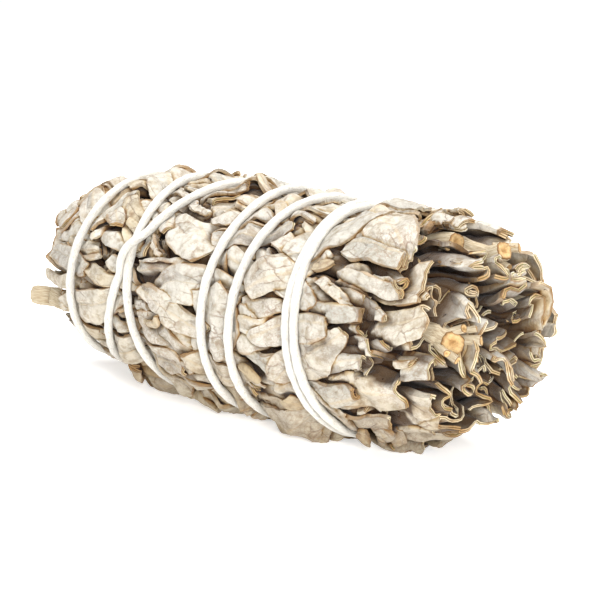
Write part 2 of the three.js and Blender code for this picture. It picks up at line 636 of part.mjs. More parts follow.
// The packed middle of the bundle: the leaves under the outer ones, as relief
const CORE_STEP = 6.4, CORE_COLUMNS = 22, CORE_TUCK = 3;
function coreSolid() {
  const rows = Math.round((CORE_ENDS[1] - CORE_ENDS[0]) / CORE_STEP);
  const points = [], triangles = [];
  const ring = (i, j) => i * CORE_COLUMNS + j % CORE_COLUMNS;
  for (let i = 0; i <= rows; i++) {
    const x = CORE_ENDS[0] + (CORE_ENDS[1] - CORE_ENDS[0]) * i / rows;
    for (let j = 0; j < CORE_COLUMNS; j++) {
      const turn = 360 * (j + 0.5 * (i % 2)) / CORE_COLUMNS, a = radians(turn);
      const tuck = i === 0 || i === rows ? CORE_TUCK : 0;
      const top = pressedIn(x, turn, sample(pile, x, turn));
      const underString = stringRadius(x) - CORE_BELOW_STRING * sample(press, x, turn);
      const r = Math.min(top - CORE_DEPTH, underString) - tuck;
      points.push(bent(new THREE.Vector3(x, -r * Math.sin(a), r * Math.cos(a)), x, turn));
    }
  }
  for (let i = 0; i < rows; i++) {
    for (let j = 0; j < CORE_COLUMNS; j++) {
      const a = ring(i, j), b = ring(i, j + 1), c = ring(i + 1, j), d = ring(i + 1, j + 1);
      if (i % 2) triangles.push([a, c, d], [a, d, b]);
      else triangles.push([a, c, b], [b, c, d]);
    }
  }
  for (const [i, x] of [[0, CORE_ENDS[0]], [rows, CORE_ENDS[1]]]) {
    points.push(bent(new THREE.Vector3(x, 0, 0), x, 0));
    for (let j = 0; j < CORE_COLUMNS; j++) {
      const [a, b] = i ? [ring(i, j + 1), ring(i, j)] : [ring(i, j), ring(i, j + 1)];
      triangles.push([a, b, points.length - 1]);
    }
  }
  return solidFrom(points, triangles);
}

// A line through given stations, for tubes that need a ring of points at each station
class StationLine extends THREE.Curve {
  constructor(stations) {
    super();
    this.stations = stations;
  }

  getUtoTmapping(u) {
    return u;
  }

  getPoint(t, target = new THREE.Vector3()) {
    const f = clamp(t, 0, 1) * (this.stations.length - 1);
    const i = Math.min(Math.floor(f), this.stations.length - 2);
    return target.lerpVectors(this.stations[i], this.stations[i + 1], f - i);
  }
}

function tube(stations, radius, sides, squareness = 0) {
  const outline = [];
  for (let i = 0; i < sides; i++) {
    const a = 2 * Math.PI * (i + 0.5) / sides;
    const reach = radius * (1 - squareness * Math.cos(4 * a));
    outline.push(new THREE.Vector2(reach * Math.cos(a), reach * Math.sin(a)));
  }
  const extrudePath = new StationLine(stations);
  const options = { steps: stations.length - 1, extrudePath, bevelEnabled: false };
  return toManifold(new THREE.ExtrudeGeometry(new THREE.Shape(outline), options));
}

function stemSolid({ stem, out, radius, from, to }) {
  const stations = [];
  const steps = Math.round((to - from) / 10);
  for (let i = 0; i <= steps; i++) {
    stations.push(place(from + (to - from) * i / steps, stem, out * LOOSE_STEM));
  }
  return tube(stations, radius, 8, 0.1);
}

// ---------------------------------------------------------------- the borders between the sprigs
// Neighbouring sprigs press against each other along wavy borders, with a hair's gap between them
const BORDERS = [38, 96, 190, 309, 351];
const GROUPS = [
  { name: 'sprig_top', middle: 15 },
  { name: 'sprig_front', middle: 67 },
  { name: 'sprig_under', middle: 143 },
  { name: 'sprig_back', middle: 250 },
  { name: 'sprig_top_back', middle: 330 },
];
const SMALLEST_SPRIG = 500;      // cubic millimetres
const BORDER_REACH = 36, BORDER_STEP = 16, BORDER_WAVE = 9;
const PAST_ENDS = 66;            // cuts along the bundle start and stop this far out
function borderSolid(angle, number) {
  const n = Math.round(2 * PAST_ENDS / BORDER_STEP);
  const points = [], triangles = [];
  for (let i = 0; i <= n; i++) {
    const x = -PAST_ENDS + 2 * PAST_ENDS * i / n;
    const lift = END_RISE * smooth((x - 28) / 26);
    const turn = angle + BORDER_WAVE * Math.sin(x / 11 + number * 2.1) * (Math.abs(x) < 60 ? 1 : 0);
    const out = new THREE.Vector3(0, -Math.sin(radians(turn)), Math.cos(radians(turn)));
    const side = new THREE.Vector3(0, out.z, -out.y).multiplyScalar(GAP / 2);
    const middle = new THREE.Vector3(x, 0, AXIS_HEIGHT + lift);
    const tip = middle.clone().addScaledVector(out, BORDER_REACH);
    middle.addScaledVector(out, -GAP / 2);
    points.push(middle.clone().add(side), tip.clone().add(side), tip.clone().sub(side), middle.clone().sub(side));
  }
  const quad = (a, b, c, d) => triangles.push([a, b, c], [a, c, d]);
  for (let i = 0; i < n; i++) {
    const near = i * 4, far = near + 4;
    quad(near, near + 1, far + 1, far);
    quad(near + 1, near + 2, far + 2, far + 1);
    quad(far + 2, near + 2, near + 3, far + 3);
    quad(near + 3, near, far, far + 3);
  }
  quad(0, 3, 2, 1);
  quad(n * 4, n * 4 + 1, n * 4 + 2, n * 4 + 3);
  return solidFrom(points, triangles);
}

// ---------------------------------------------------------------- the string as a solid
const STRING_FINE = [-12, -3.5, 3.5, 12];   // extra rings either side of a lift, in degrees
const STRING_CLEAR = 0.06;       // the string is held just off the surface by the leaves
function routePoint(turn) {
  const x = routeX(turn), r = stringRadius(x) + routeLift(turn), a = radians(turn);
  const lowest = STRING_DIAMETER / 2 + STRING_CLEAR;
  return new THREE.Vector3(x, -r * Math.sin(a), Math.max(AXIS_HEIGHT + r * Math.cos(a), lowest));
}

function stringStations() {
  const lifts = [...CROSSINGS, ...KNOT_TURNS];
  const turns = lifts.flatMap((turn) => STRING_FINE.map((step) => turn + step));
  for (let turn = FIRST_TURN; turn < LAST_TURN; turn += STRING_STEP) {
    if (lifts.every((lift) => Math.abs(lift - turn) > 23)) turns.push(turn);
  }
  turns.push(LAST_TURN);
  const onString = turns.filter((turn) => turn >= FIRST_TURN && turn <= LAST_TURN);
  return onString.sort((a, b) => a - b).map(routePoint);
}

// The knot's body is two turns of the same string round the two strands that it ties
const KNOT_RADIUS = 2.25, KNOT_SQUASH = 0.72, KNOT_APART = 0.72;
function knotLoops(spare) {
  const [a, b] = KNOT_TURNS.map(routePoint);
  const middle = a.clone().add(b).multiplyScalar(0.5);
  return [-1, 1].map((side) => {
    const loop = new THREE.TorusGeometry(KNOT_RADIUS, STRING_DIAMETER / 2 + spare, 5, 8);
    loop.scale(1, KNOT_SQUASH, 1);
    loop.rotateY(side * 0.12).rotateX(0.06);
    loop.translate(middle.x, middle.y, middle.z + side * KNOT_APART);
    return toManifold(loop);
  });
}

function stringSolid() {
  const line = tube(stringStations(), STRING_DIAMETER / 2, STRING_SIDES);
  return knotLoops(0).reduce((sum, loop) => sum.add(loop), line);
}

// The room kept free for the string: an open channel under it
const CHANNEL_HEIGHT = 5;
function channelSolid() {
  const half = STRING_DIAMETER / 2 + GAP, stations = stringStations();
  const points = [], triangles = [];
  stations.forEach((point, i) => {
    const before = stations[Math.max(i - 1, 0)], after = stations[Math.min(i + 1, stations.length - 1)];
    const along = after.clone().sub(before).normalize();
    const out = new THREE.Vector3(0, point.y, point.z - AXIS_HEIGHT).normalize();
    const side = along.clone().cross(out).normalize().multiplyScalar(half);
    const spare = i === 0 ? -GAP : i === stations.length - 1 ? GAP : 0;
    const floor = point.clone().addScaledVector(along, spare).addScaledVector(out, -half);
    const roof = floor.clone().addScaledVector(out, CHANNEL_HEIGHT);
    points.push(floor.clone().sub(side), floor.clone().add(side), roof.clone().add(side), roof.clone().sub(side));
  });
  const quad = (a, b, c, d) => triangles.push([a, b, c], [a, c, d]);
  for (let i = 0; i + 1 < stations.length; i++) {
    const near = i * 4, far = near + 4;
    for (let k = 0; k < 4; k++) {
      const next = (k + 1) % 4;
      quad(near + k, near + next, far + next, far + k);
    }
  }
  quad(0, 3, 2, 1);
  const end = 4 * (stations.length - 1);
  quad(end, end + 1, end + 2, end + 3);
  const solid = solidFrom(points, triangles);
  return knotLoops(GAP).reduce((sum, loop) => sum.add(loop), solid);
}

// ---------------------------------------------------------------- putting it together
const leaves = layAll();
fillPressMaps();
drawWaves();

const ENDS_APART = 4.8;          // inner leaf ends that are modelled stand this far apart
function leafSolids() {
  const solids = [], ends = [];
  for (const leaf of leaves) {
    if (leafDepth(leaf) > OUTER_SHARE) {
      solids.push(leafSolid(leaf, 0, 1));
      continue;
    }
    const end = leafEnd(leaf);
    if (!end) continue;
    const box = end.boundingBox();
    const middle = new THREE.Vector3(...box.min).add(new THREE.Vector3(...box.max)).multiplyScalar(0.5);
    if (ends.some((other) => other.distanceTo(middle) < ENDS_APART)) continue;
    ends.push(middle);
    solids.push(end);
  }
  return solids;
}

function joined(solids) {
  let list = solids;
  while (list.length > 1) {
    const next = [];
    for (let i = 0; i < list.length; i += 2) {
      next.push(i + 1 < list.length ? list[i].add(list[i + 1]) : list[i]);
    }
    list = next;
  }
  return list[0];
}

function aboveSurface() {
  return toManifold(new THREE.BoxGeometry(200, 100, 100).translate(0, 0, 50));
}

const borders = BORDERS.map(borderSolid);

// The sprigs' inner edges are blunt, so a slim gap runs along the middle where they all meet
const MIDDLE_GAP = 1.0;
function middleSolid() {
  const stations = [];
  for (let x = -PAST_ENDS; x <= PAST_ENDS; x += BORDER_STEP / 2) {
    stations.push(new THREE.Vector3(x, 0, AXIS_HEIGHT + END_RISE * smooth((x - 28) / 26)));
  }
  return tube(stations, MIDDLE_GAP, 6);
}
borders.push(middleSolid());

const bundle = joined([coreSolid(), ...leafSolids(), ...SPRIGS.map(stemSolid)]);
const clear = bundle.subtract(channelSolid()).subtract(joined(borders)).intersect(aboveSurface());

function geometryOf(solid) {
  const { vertProperties, triVerts } = solid.getMesh();
  const geometry = new THREE.BufferGeometry();
  geometry.setAttribute('position', new THREE.BufferAttribute(vertProperties, 3));
  geometry.setIndex(new THREE.BufferAttribute(triVerts, 1));
  return geometry;
}

// The largest closed shell of a solid: this leaves out scraps and fills sealed hollows
function largestShell(solid) {
  const shells = toManifold(geometryOf(solid)).decompose();
  return shells.reduce((best, shell) => (shell.volume() > best.volume() ? shell : best));
}

const bodies = clear.decompose().filter((body) => body.volume() > SMALLEST_SPRIG).map(largestShell);

const group = new THREE.Group();
group.name = 'sage_bunch';
group.position.set(-MIDDLE_X, -MIDDLE_Y, 0);

// Two corners that meet at one point are drawn a little apart, each into its own side
const APART = 0.06;
function partTouching(points, around, faces) {
  const groups = new Map();
  points.forEach((p, v) => {
    if (!around[v].size) return;
    const key = p.toArray().map((c) => Math.round(c * 400)).join(' ');
    groups.set(key, [...(groups.get(key) ?? []), v]);
  });
  for (const group of groups.values()) {
    if (group.length < 2) continue;
    for (const v of group) {
      const near = [...new Set([...around[v]].flatMap((f) => faces[f]))].filter((w) => w !== v);
      const sum = near.reduce((total, w) => total.add(points[w]), new THREE.Vector3());
      const move = sum.divideScalar(near.length).sub(points[v]);
      points[v].addScaledVector(move, Math.min(0.3, APART / Math.max(move.length(), 1e-6)));
    }
  }
}

// Edges shorter than a sliver are drawn together, where that turns no facet over
const SLIVER = 0.22;
function withoutSlivers(solid) {
  const { vertProperties, triVerts, numVert } = solid.getMesh();
  const pointAt = (_, i) => new THREE.Vector3().fromArray(vertProperties, 3 * i);
  const points = Array.from({ length: numVert }, pointAt);
  const faces = [], around = points.map(() => new Set());
  for (let i = 0; i < triVerts.length; i += 3) {
    const face = [...triVerts.slice(i, i + 3)];
    face.forEach((v) => around[v].add(faces.length));
    faces.push(face);
  }
  const normal = (face, swap, by) => {
    const [p, q, r] = face.map((v) => (swap.includes(v) ? by : points[v]));
    return q.clone().sub(p).cross(r.clone().sub(p));
  };
  const neighbours = (v) => new Set([...around[v]].flatMap((f) => faces[f]).filter((w) => w !== v));
  const edgeCount = (a, b) => [...around[a]].filter((f) => faces[f].includes(b)).length;
  const canJoin = (a, b, middle) => {
    const near = neighbours(b);
    const shared = [...neighbours(a)].filter((v) => near.has(v));
    if (shared.length !== 2 || edgeCount(a, b) !== 2) return false;
    return [...around[a], ...around[b]].every((f) => {
      const face = faces[f];
      if (face.includes(a) && face.includes(b)) return true;
      const old = normal(face, [], null), moved = normal(face, [a, b], middle);
      const oldArea = old.length(), newArea = moved.length();
      return newArea > 1e-4 && (oldArea < 2e-3 || old.dot(moved) > 0.7 * oldArea * newArea);
    });
  };
  for (let pass = 0; pass < 6; pass++) {
    const edges = [];
    faces.forEach((face) => face && face.forEach((a, k) => {
      const b = face[(k + 1) % 3], length = points[a].distanceTo(points[b]);
      if (a < b && length < SLIVER) edges.push([length, a, b]);
    }));
    edges.sort((p, q) => p[0] - q[0]);
    let joins = 0;
    for (const [, a, b] of edges) {
      if (!around[a].size || !around[b].size || !edgeCount(a, b)) continue;
      if (points[a].distanceTo(points[b]) > SLIVER) continue;
      const middle = points[a].clone().lerp(points[b], 0.5);
      if (!canJoin(a, b, middle)) continue;
      for (const f of [...around[b]]) {
        if (faces[f].includes(a)) {
          faces[f].forEach((v) => around[v].delete(f));
          faces[f] = null;
        } else {
          faces[f] = faces[f].map((v) => (v === b ? a : v));
          around[a].add(f);
        }
      }
      around[b].clear();
      points[a].copy(middle);
      joins++;
    }
    if (!joins) break;
  }
  partTouching(points, around, faces);
  const positions = faces.filter((face) => face).flatMap((face) => face.flatMap((v) => points[v].toArray()));
  const loose = new THREE.BufferGeometry();
  loose.setAttribute('position', new THREE.Float32BufferAttribute(positions, 3));
  return mergeVertices(loose, 1e-5);
}

function addMesh(name, solid, colour, roughness) {
  const geometry = withoutSlivers(solid);
  geometry.computeVertexNormals();
  const material = new THREE.MeshStandardMaterial({ color: colour, roughness, metalness: 0 });
  const mesh = new THREE.Mesh(geometry, material);
  mesh.name = name;
  group.add(mesh);
}

for (const body of bodies) {
  const { min, max } = body.boundingBox();
  const y = (min[1] + max[1]) / 2, z = (min[2] + max[2]) / 2 - AXIS_HEIGHT;
  const at = (degrees(Math.atan2(-y, z)) + 360) % 360;
  const away = (sprig) => Math.abs((sprig.middle - at + 540) % 360 - 180);
  const { name } = GROUPS.reduce((best, sprig) => (away(sprig) < away(best) ? sprig : best));
  addMesh(name, body, 0xcdc6b4, 0.95);
}
addMesh('string', largestShell(stringSolid()), 0xf1eee6, 0.85);

export default group;
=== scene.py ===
from math import cos, pi, radians, sin, sqrt

import bpy
import numpy as np
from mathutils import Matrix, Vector
from mathutils.bvhtree import BVHTree


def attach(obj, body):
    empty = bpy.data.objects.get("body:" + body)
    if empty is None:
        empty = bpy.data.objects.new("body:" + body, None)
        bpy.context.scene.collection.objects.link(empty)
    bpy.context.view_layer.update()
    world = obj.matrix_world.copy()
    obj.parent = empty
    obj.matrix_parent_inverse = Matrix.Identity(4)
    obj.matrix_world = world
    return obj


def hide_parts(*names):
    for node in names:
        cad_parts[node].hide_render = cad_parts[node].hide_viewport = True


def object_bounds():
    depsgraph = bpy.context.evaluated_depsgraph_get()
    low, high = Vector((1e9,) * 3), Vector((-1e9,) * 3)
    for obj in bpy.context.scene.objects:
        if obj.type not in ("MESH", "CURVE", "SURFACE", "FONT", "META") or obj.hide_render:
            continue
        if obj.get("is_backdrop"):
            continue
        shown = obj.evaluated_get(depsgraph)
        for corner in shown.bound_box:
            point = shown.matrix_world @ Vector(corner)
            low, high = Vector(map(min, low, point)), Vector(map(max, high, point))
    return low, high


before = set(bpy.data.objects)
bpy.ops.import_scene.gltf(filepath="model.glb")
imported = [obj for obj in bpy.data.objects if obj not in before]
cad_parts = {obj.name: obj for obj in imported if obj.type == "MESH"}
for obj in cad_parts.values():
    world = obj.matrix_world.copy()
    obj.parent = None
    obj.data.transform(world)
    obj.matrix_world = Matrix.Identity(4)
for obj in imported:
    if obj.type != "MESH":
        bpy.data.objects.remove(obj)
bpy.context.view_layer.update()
bpy.ops.object.select_all(action="DESELECT")


# ---------------------------------------------------------------- How the bundle is wound
# One length of cotton string holds the bundle. It starts at the knot at the back, climbs the
# bundle, lies double where it turns, comes down again and is tied to its own start.
AXIS_HEIGHT = 20.9           # middle of the bundle above the surface, millimetres
# The bundle's outside: places along it, and how far from its axis it is there
SKIN_X = [-52, -46, -42, -36, -25, 0, 23, 33, 40, 45, 50, 54, 58]
SKIN_R = [12.5, 14.6, 16.3, 18.1, 19.6, 20.7, 20.4, 19.7, 19.2, 18.6, 17.2, 15.6, 14.0]
STRING_THICK = 1.56
STRING_OUT = (-3.94, 0.5, 20.1)        # winding radius a t^2 + b t + c, with t = x / 50
ARC = pi / 180 * 20          # millimetres round the bundle for each degree
CROSSING = (1.72, 0.9, 3.6)  # how high a crossing strand lifts, half its level stretch, and each slope
KNOT_LIFT = (1.5, 2.0, 6.0)  # the same, where the knot ties two strands
KNOT_TURNS = (-90.0, 2430.0)           # where the two strands that the knot ties pass it
# Degrees that the string has turned round the bundle, and its place along it
ROUTE = [(-128, -30.6), (-110, -32.6), (-90, -32.4), (-45, -27.4), (0, -21.2), (90, -17.8), (180, -14.6),
         (270, -5.9), (360, 2.8), (450, 2.1), (540, 1.2), (630, 9.6), (720, 19.2), (810, 22.3), (900, 25.2),
         (990, 23.8), (1080, 21.0), (1170, 24.1), (1260, 27.0), (1350, 20.4), (1440, 12.1), (1530, 9.0),
         (1620, 5.9), (1710, -1.6), (1800, -9.1), (1890, -22.25), (1980, -34.6), (2070, -36.9),
         (2160, -33.4), (2250, -35.9), (2340, -38.6), (2430, -34.0), (2450, -34.2), (2468, -36.6)]


def smooth(t):
    t = np.clip(t, 0, 1)
    return t * t * (3 - 2 * t)


def skin(x):
    return np.interp(x, SKIN_X, SKIN_R)


def route_x(turn):
    """Where the string lies along the bundle, by the degrees it has turned round it."""
    turns, places = np.array(ROUTE, float).T
    slopes = np.empty(len(turns))
    slopes[1:-1] = (places[2:] - places[:-2]) / (turns[2:] - turns[:-2])
    slopes[[0, -1]] = (np.diff(places) / np.diff(turns))[[0, -1]]
    turn = np.asarray(turn, float)
    i = np.clip(np.searchsorted(turns, turn, side="right") - 1, 0, len(turns) - 2)
    span = turns[i + 1] - turns[i]
    u = (turn - turns[i]) / span
    start = (1 + 2 * u) * (1 - u) ** 2 * places[i] + u * (1 - u) ** 2 * span * slopes[i]
    stop = u * u * (3 - 2 * u) * places[i + 1] + u * u * (u - 1) * span * slopes[i + 1]
    return start + stop


def route_crossings():
    found = []
    first, last = ROUTE[0][0], ROUTE[-1][0]
    for lap in range(1, 8):
        turns = np.arange(first + 360 * lap, last + 0.01, 1.0)
        apart = route_x(turns) - route_x(turns - 360 * lap)
        for i in np.nonzero(apart[:-1] * apart[1:] < 0)[0]:
            found.append(turns[i] + apart[i] / (apart[i] - apart[i + 1]))
    return found


def string_line(step):
    """Turn and centre of the string, on the bundle's own axis, lifted where it crosses itself."""
    turns = np.arange(ROUTE[0][0], ROUTE[-1][0] + 0.01, step)
    x = route_x(turns)
    lift = np.zeros(len(turns))
    for places, (height, stretch, slope) in ((route_crossings(), CROSSING), (KNOT_TURNS, KNOT_LIFT)):
        for place in places:
            away = np.abs(turns - place) * ARC
            lift = np.maximum(lift, height * (1 - smooth((away - stretch) / slope)))
    r = np.polyval(STRING_OUT, x / 50) + lift
    t = np.radians(turns)
    z = np.maximum(r * np.cos(t), STRING_THICK / 2 + 0.06 - AXIS_HEIGHT)
    return turns, np.stack([x, -r * np.sin(t), z], axis=1)


# ---------------------------------------------------------------- The leafy sprigs
# White sage is cut green, bunched and pressed: narrow felted leaves lie one on another round the
# stems, folded, rolled and pleated, and dry that way. The bunch is laid here leaf by leaf where
# it is thinnest, and then pressed in by the string. Its ends are cut across, so they are ragged.
LEAF_THICK = 0.62
ROOM = 0.7                   # room for one blade in the loose pile
EMPTY = 2.6                  # the pile starts this far from the axis
FULL = 1.45                  # how loose the pile is before it is pressed
LOOSE = 1.5                  # the same, for the stems
MOST_LEAVES, PLACES_TRIED = 420, 14
COLUMNS, LANE = 31, 1.2      # points across a leaf as it is laid, and the width of its bed's lanes
TAPER = 12                   # cut leaves straighten over this length
PRESSED = 3.2                # how far to each side of the string the leaves are pressed in
NEAR_END, FAR_END = 56.0, -49.0        # where the middle leaves are cut across
FIRST_X, X_CELLS, TURN_CELLS = -60.0, 121, 120         # the pile's map: how high it is, by x and turn
FOLDS = {                    # folds as (place in half widths, degrees, arc), and an even curl
    "arch": ([], -95),
    "cup": ([], 70),
    "fold": ([(0.0, 163, 1.5)], -25),
    "zed": ([(-0.36, 160, 1.5), (0.36, -160, 1.5)], 0),
    "roll": ([], 470),
    "halfroll": ([], 250),
    "margins": ([(-0.66, -120, 2.6), (0.66, -120, 2.6)], -35),
    "oneroll": ([(0.45, -200, 3.2)], -30),
    "pleat": ([(-0.5, 115, 1.4), (0.0, -125, 1.4), (0.5, 115, 1.4)], 0),
    "crease": ([(-0.3, 62, 0.7), (0.34, -78, 0.7)], -20),
    "flap": ([(0.34, -166, 1.3)], -30),
    "hem": ([(-0.6, -150, 1.8), (0.2, 34, 0.8)], -24),
}
INNER_FOLDS = dict(zed=0.28, pleat=0.2, roll=0.14, fold=0.3, halfroll=0.04, margins=0.04)
OUTER_FOLDS = dict(margins=0.26, arch=0.2, fold=0.19, roll=0.09, oneroll=0.13, cup=0.05, zed=0.08)
STEMS = [                    # angle from the top, distance out, radius, start and stop along the bundle
    ("stem_top", 3, 17.2, 1.55, -30, 41),
    ("stem_front", 73, 12.6, 1.75, -40, 50.5),
    ("stem_low_front", 115, 12.6, 1.9, -52, 38),
    ("stem_under", 180, 9, 1.4, -36, 47),
    ("stem_low_back", 236, 12, 1.3, -40, 46),
    ("stem_back", 280, 8, 1.5, -38, 52),
    ("stem_top_back", 343, 14.8, 1.55, -34, 51),
]


def random_draws(seed):
    """Repeatable draws from 0 to 1."""
    state, low = [seed], 0xFFFFFFFF

    def draw():
        state[0] = (state[0] + 0x6D2B79F5) & low
        t = state[0]
        t = ((t ^ (t >> 15)) * (t | 1)) & low
        t = ((t + (((t ^ (t >> 7)) * (t | 61)) & low)) & low) ^ t
        return ((t ^ (t >> 14)) & low) / 4294967296.0

    return draw


draw = random_draws(11)
cells_x = FIRST_X + np.arange(X_CELLS)[:, None]
cells_turn = np.arange(TURN_CELLS) * 360.0 / TURN_CELLS
pile = np.full((X_CELLS, TURN_CELLS), EMPTY)


def between(low, high):
    return low + (high - low) * draw()


def bell(spread):
    return spread * (draw() + draw() + draw() - 1.5) * 2.0


def near_cut(r):
    """Where the cut end lies along the bundle, by the distance from its axis."""
    return NEAR_END - 6.0 * (np.minimum(r, 20.5) / 17.0) ** 6


def far_cut(r):
    return FAR_END + 7.0 * (r / 15.0) ** 4


def turned_from(turn):
    """Degrees from a turn to each cell of the pile, from -180 to 180."""
    return (cells_turn - turn + 180) % 360 - 180


def sample(cells, x, turn):
    """Reads a map of the pile between its cells."""
    fx = np.clip(x - FIRST_X, 0, X_CELLS - 1.001)
    ft = (turn / 360.0 * TURN_CELLS) % TURN_CELLS
    ix = fx.astype(int)
    it = ft.astype(int) % TURN_CELLS
    after = (it + 1) % TURN_CELLS
    ux = fx - ix
    ut = ft - np.floor(ft)
    near = cells[ix, it] * (1 - ux) + cells[ix + 1, it] * ux
    far = cells[ix, after] * (1 - ux) + cells[ix + 1, after] * ux
    return near * (1 - ut) + far * ut


def leaf_section(leaf, a, columns):
    """The folded section at each distance a along a leaf: b across the pile and h up from its bed."""
    share = a / leaf["length"]
    tau = leaf["tip"] + (leaf["base"] - leaf["tip"]) * share
    half = 0.5 * leaf["width"] * np.maximum(np.sin(pi * tau ** 0.85), 0.03) ** 0.62
    s = np.linspace(-1, 1, columns)
    q = half[:, None] * s[None, :]
    form = leaf["form"]
    folds, curl = FOLDS[form]
    shut = 1.0 - leaf["open"] * 0.5 * (1 - np.cos(2 * pi * (leaf["wave"] * share + leaf["phase"])))
    wide = half / (0.5 * leaf["width"])
    bend = radians(curl * leaf["curl"]) * 0.5
    if form in ("roll", "halfroll"):
        psi = bend * ((s + 1) + 0.18 * (s + 1) ** 2)[None, :] * wide[:, None]
    else:
        psi = bend * s[None, :] * (wide * shut)[:, None]
    for place, turn, arc in folds:
        past = q - (place + leaf["shift"]) * half[:, None]
        psi = psi + radians(turn) * shut[:, None] * smooth(past / arc + 0.5)
    if form in ("arch", "cup", "margins", "pleat"):
        level = -psi.mean(axis=1, keepdims=True)
    elif form == "oneroll":
        level = -psi[:, :columns // 2].mean(axis=1, keepdims=True)
    else:
        level = radians({"fold": -4, "zed": 3}.get(form, 0))
    psi = psi + level + radians(leaf["tilt"])
    step = np.diff(q, axis=1)
    mid = 0.5 * (psi[:, 1:] + psi[:, :-1])
    zero = np.zeros((len(a), 1))
    b, h = (np.concatenate([zero, np.cumsum(way(mid) * step, axis=1)], axis=1) for way in (np.cos, np.sin))
    b -= 0.5 * (b.max(axis=1, keepdims=True) + b.min(axis=1, keepdims=True))
    return q, -b if leaf["mirror"] else b, h - h.min(axis=1, keepdims=True)


def leaf_line(leaf):
    """A leaf's middle line in the unrolled pile: how far along it, and its x, v, heading and lean."""
    length = leaf["length"]
    a = np.linspace(0, length, leaf["rows"] + 1)
    heading = radians(leaf["head"]) + radians(leaf["bend"]) * (a / length - 0.5)
    dx, dv = np.cos(heading), np.sin(heading)
    x, v = (np.concatenate([[0], np.cumsum(0.5 * (d[1:] + d[:-1]) * np.diff(a))]) for d in (dx, dv))
    x = x - np.interp(length / 2, a, x) + leaf["x"]
    v = v - np.interp(length / 2, a, v)
    lean = dv.copy()
    if leaf["near"]:
        lean = lean * (1 - smooth((a - (length - TAPER)) / TAPER))
    if leaf["far"]:
        lean = lean * (1 - smooth((TAPER - a) / TAPER))
    return a, np.stack([x, v, dx, lean])[..., None]


def on_pile(leaf, line, b):
    """Place and turn in the pile of the points that lie b to the side of a leaf's line."""
    x, v, dx, lean = line
    return x - b * lean, leaf["turn"] + np.degrees((v + b * dx) / leaf["reach"])


def neighbours(bed):
    wide = np.pad(bed, 1, mode="edge")
    return wide[:-2, 1:-1] + wide[2:, 1:-1] + wide[1:-1, :-2] + wide[1:-1, 2:]


def lay_leaf(leaf):
    """Drapes a leaf: its bed is a stiff sheet that sags on to the pile, which then grows by the leaf."""
    rows = leaf["rows"]
    a, line = leaf_line(leaf)
    _, b, h = leaf_section(leaf, a, COLUMNS)
    low_b, high_b = b.min() - 0.4, b.max() + 0.4
    lanes = max(4, int((high_b - low_b) / LANE + 0.5))
    step = (high_b - low_b) / lanes
    lane = low_b + step * np.arange(lanes + 1)
    low = np.full((rows + 1, lanes + 1), 99.0)
    for k in range(lanes + 1):
        low[:, k] = np.where(np.abs(b - lane[k]) <= 0.8 * step, h, 99.0).min(axis=1)
    under = sample(pile, *on_pile(leaf, line, lane)) - low + ROOM * 0.5
    tops = under.max(axis=1)
    for _ in range(2):
        beside = np.maximum(np.concatenate([tops[1:], tops[-1:]]), np.concatenate([tops[:1], tops[:-1]]))
        tops = np.maximum(tops, beside - 0.6)
    bed = np.repeat(tops[:, None], lanes + 1, axis=1)
    for _ in range(leaf["soft"]):
        bed = np.maximum(under, (neighbours(bed) + 2 * bed) / 6.0 - leaf["sag"])
    bed = (neighbours(bed) + 4 * bed) / 8.0
    leaf.update(bed=bed, low_b=low_b, step=step)
    ai = np.arange(rows * 3 + 1) / 3.0
    i = np.minimum(ai.astype(int), rows - 1)
    u = (ai - i)[:, None]
    cj = np.arange(2 * COLUMNS - 1) / 2.0
    j = np.minimum(cj.astype(int), COLUMNS - 2)
    w = cj - j

    def finer(m):
        r = m[i] * (1 - u) + m[i + 1] * u
        return r[:, j] * (1 - w) + r[:, j + 1] * w

    bb, hh = finer(b), finer(h)
    beds = bed[i] * (1 - u) + bed[i + 1] * u
    f = (bb - low_b) / step
    k = np.clip(f.astype(int), 0, lanes - 1)
    row = np.arange(len(ai))[:, None]
    r = beds[row, k] * (1 - f + k) + beds[row, k + 1] * (f - k) + hh + 0.5 * ROOM
    x, t = on_pile(leaf, line[:, i] * (1 - u) + line[:, i + 1] * u, bb)
    ix = np.clip(np.floor(x - FIRST_X + 0.5).astype(int), 0, X_CELLS - 1)
    it = np.floor(t / 360 * TURN_CELLS + 0.5).astype(int) % TURN_CELLS
    np.maximum.at(pile, (ix, it), r)


def pick(table):
    """Draws one of a table's forms by its share."""
    u = draw()
    total = sum(table.values())
    reached = 0.0
    for name, share in table.items():
        reached += share / total
        if u < reached:
            return name
    return name


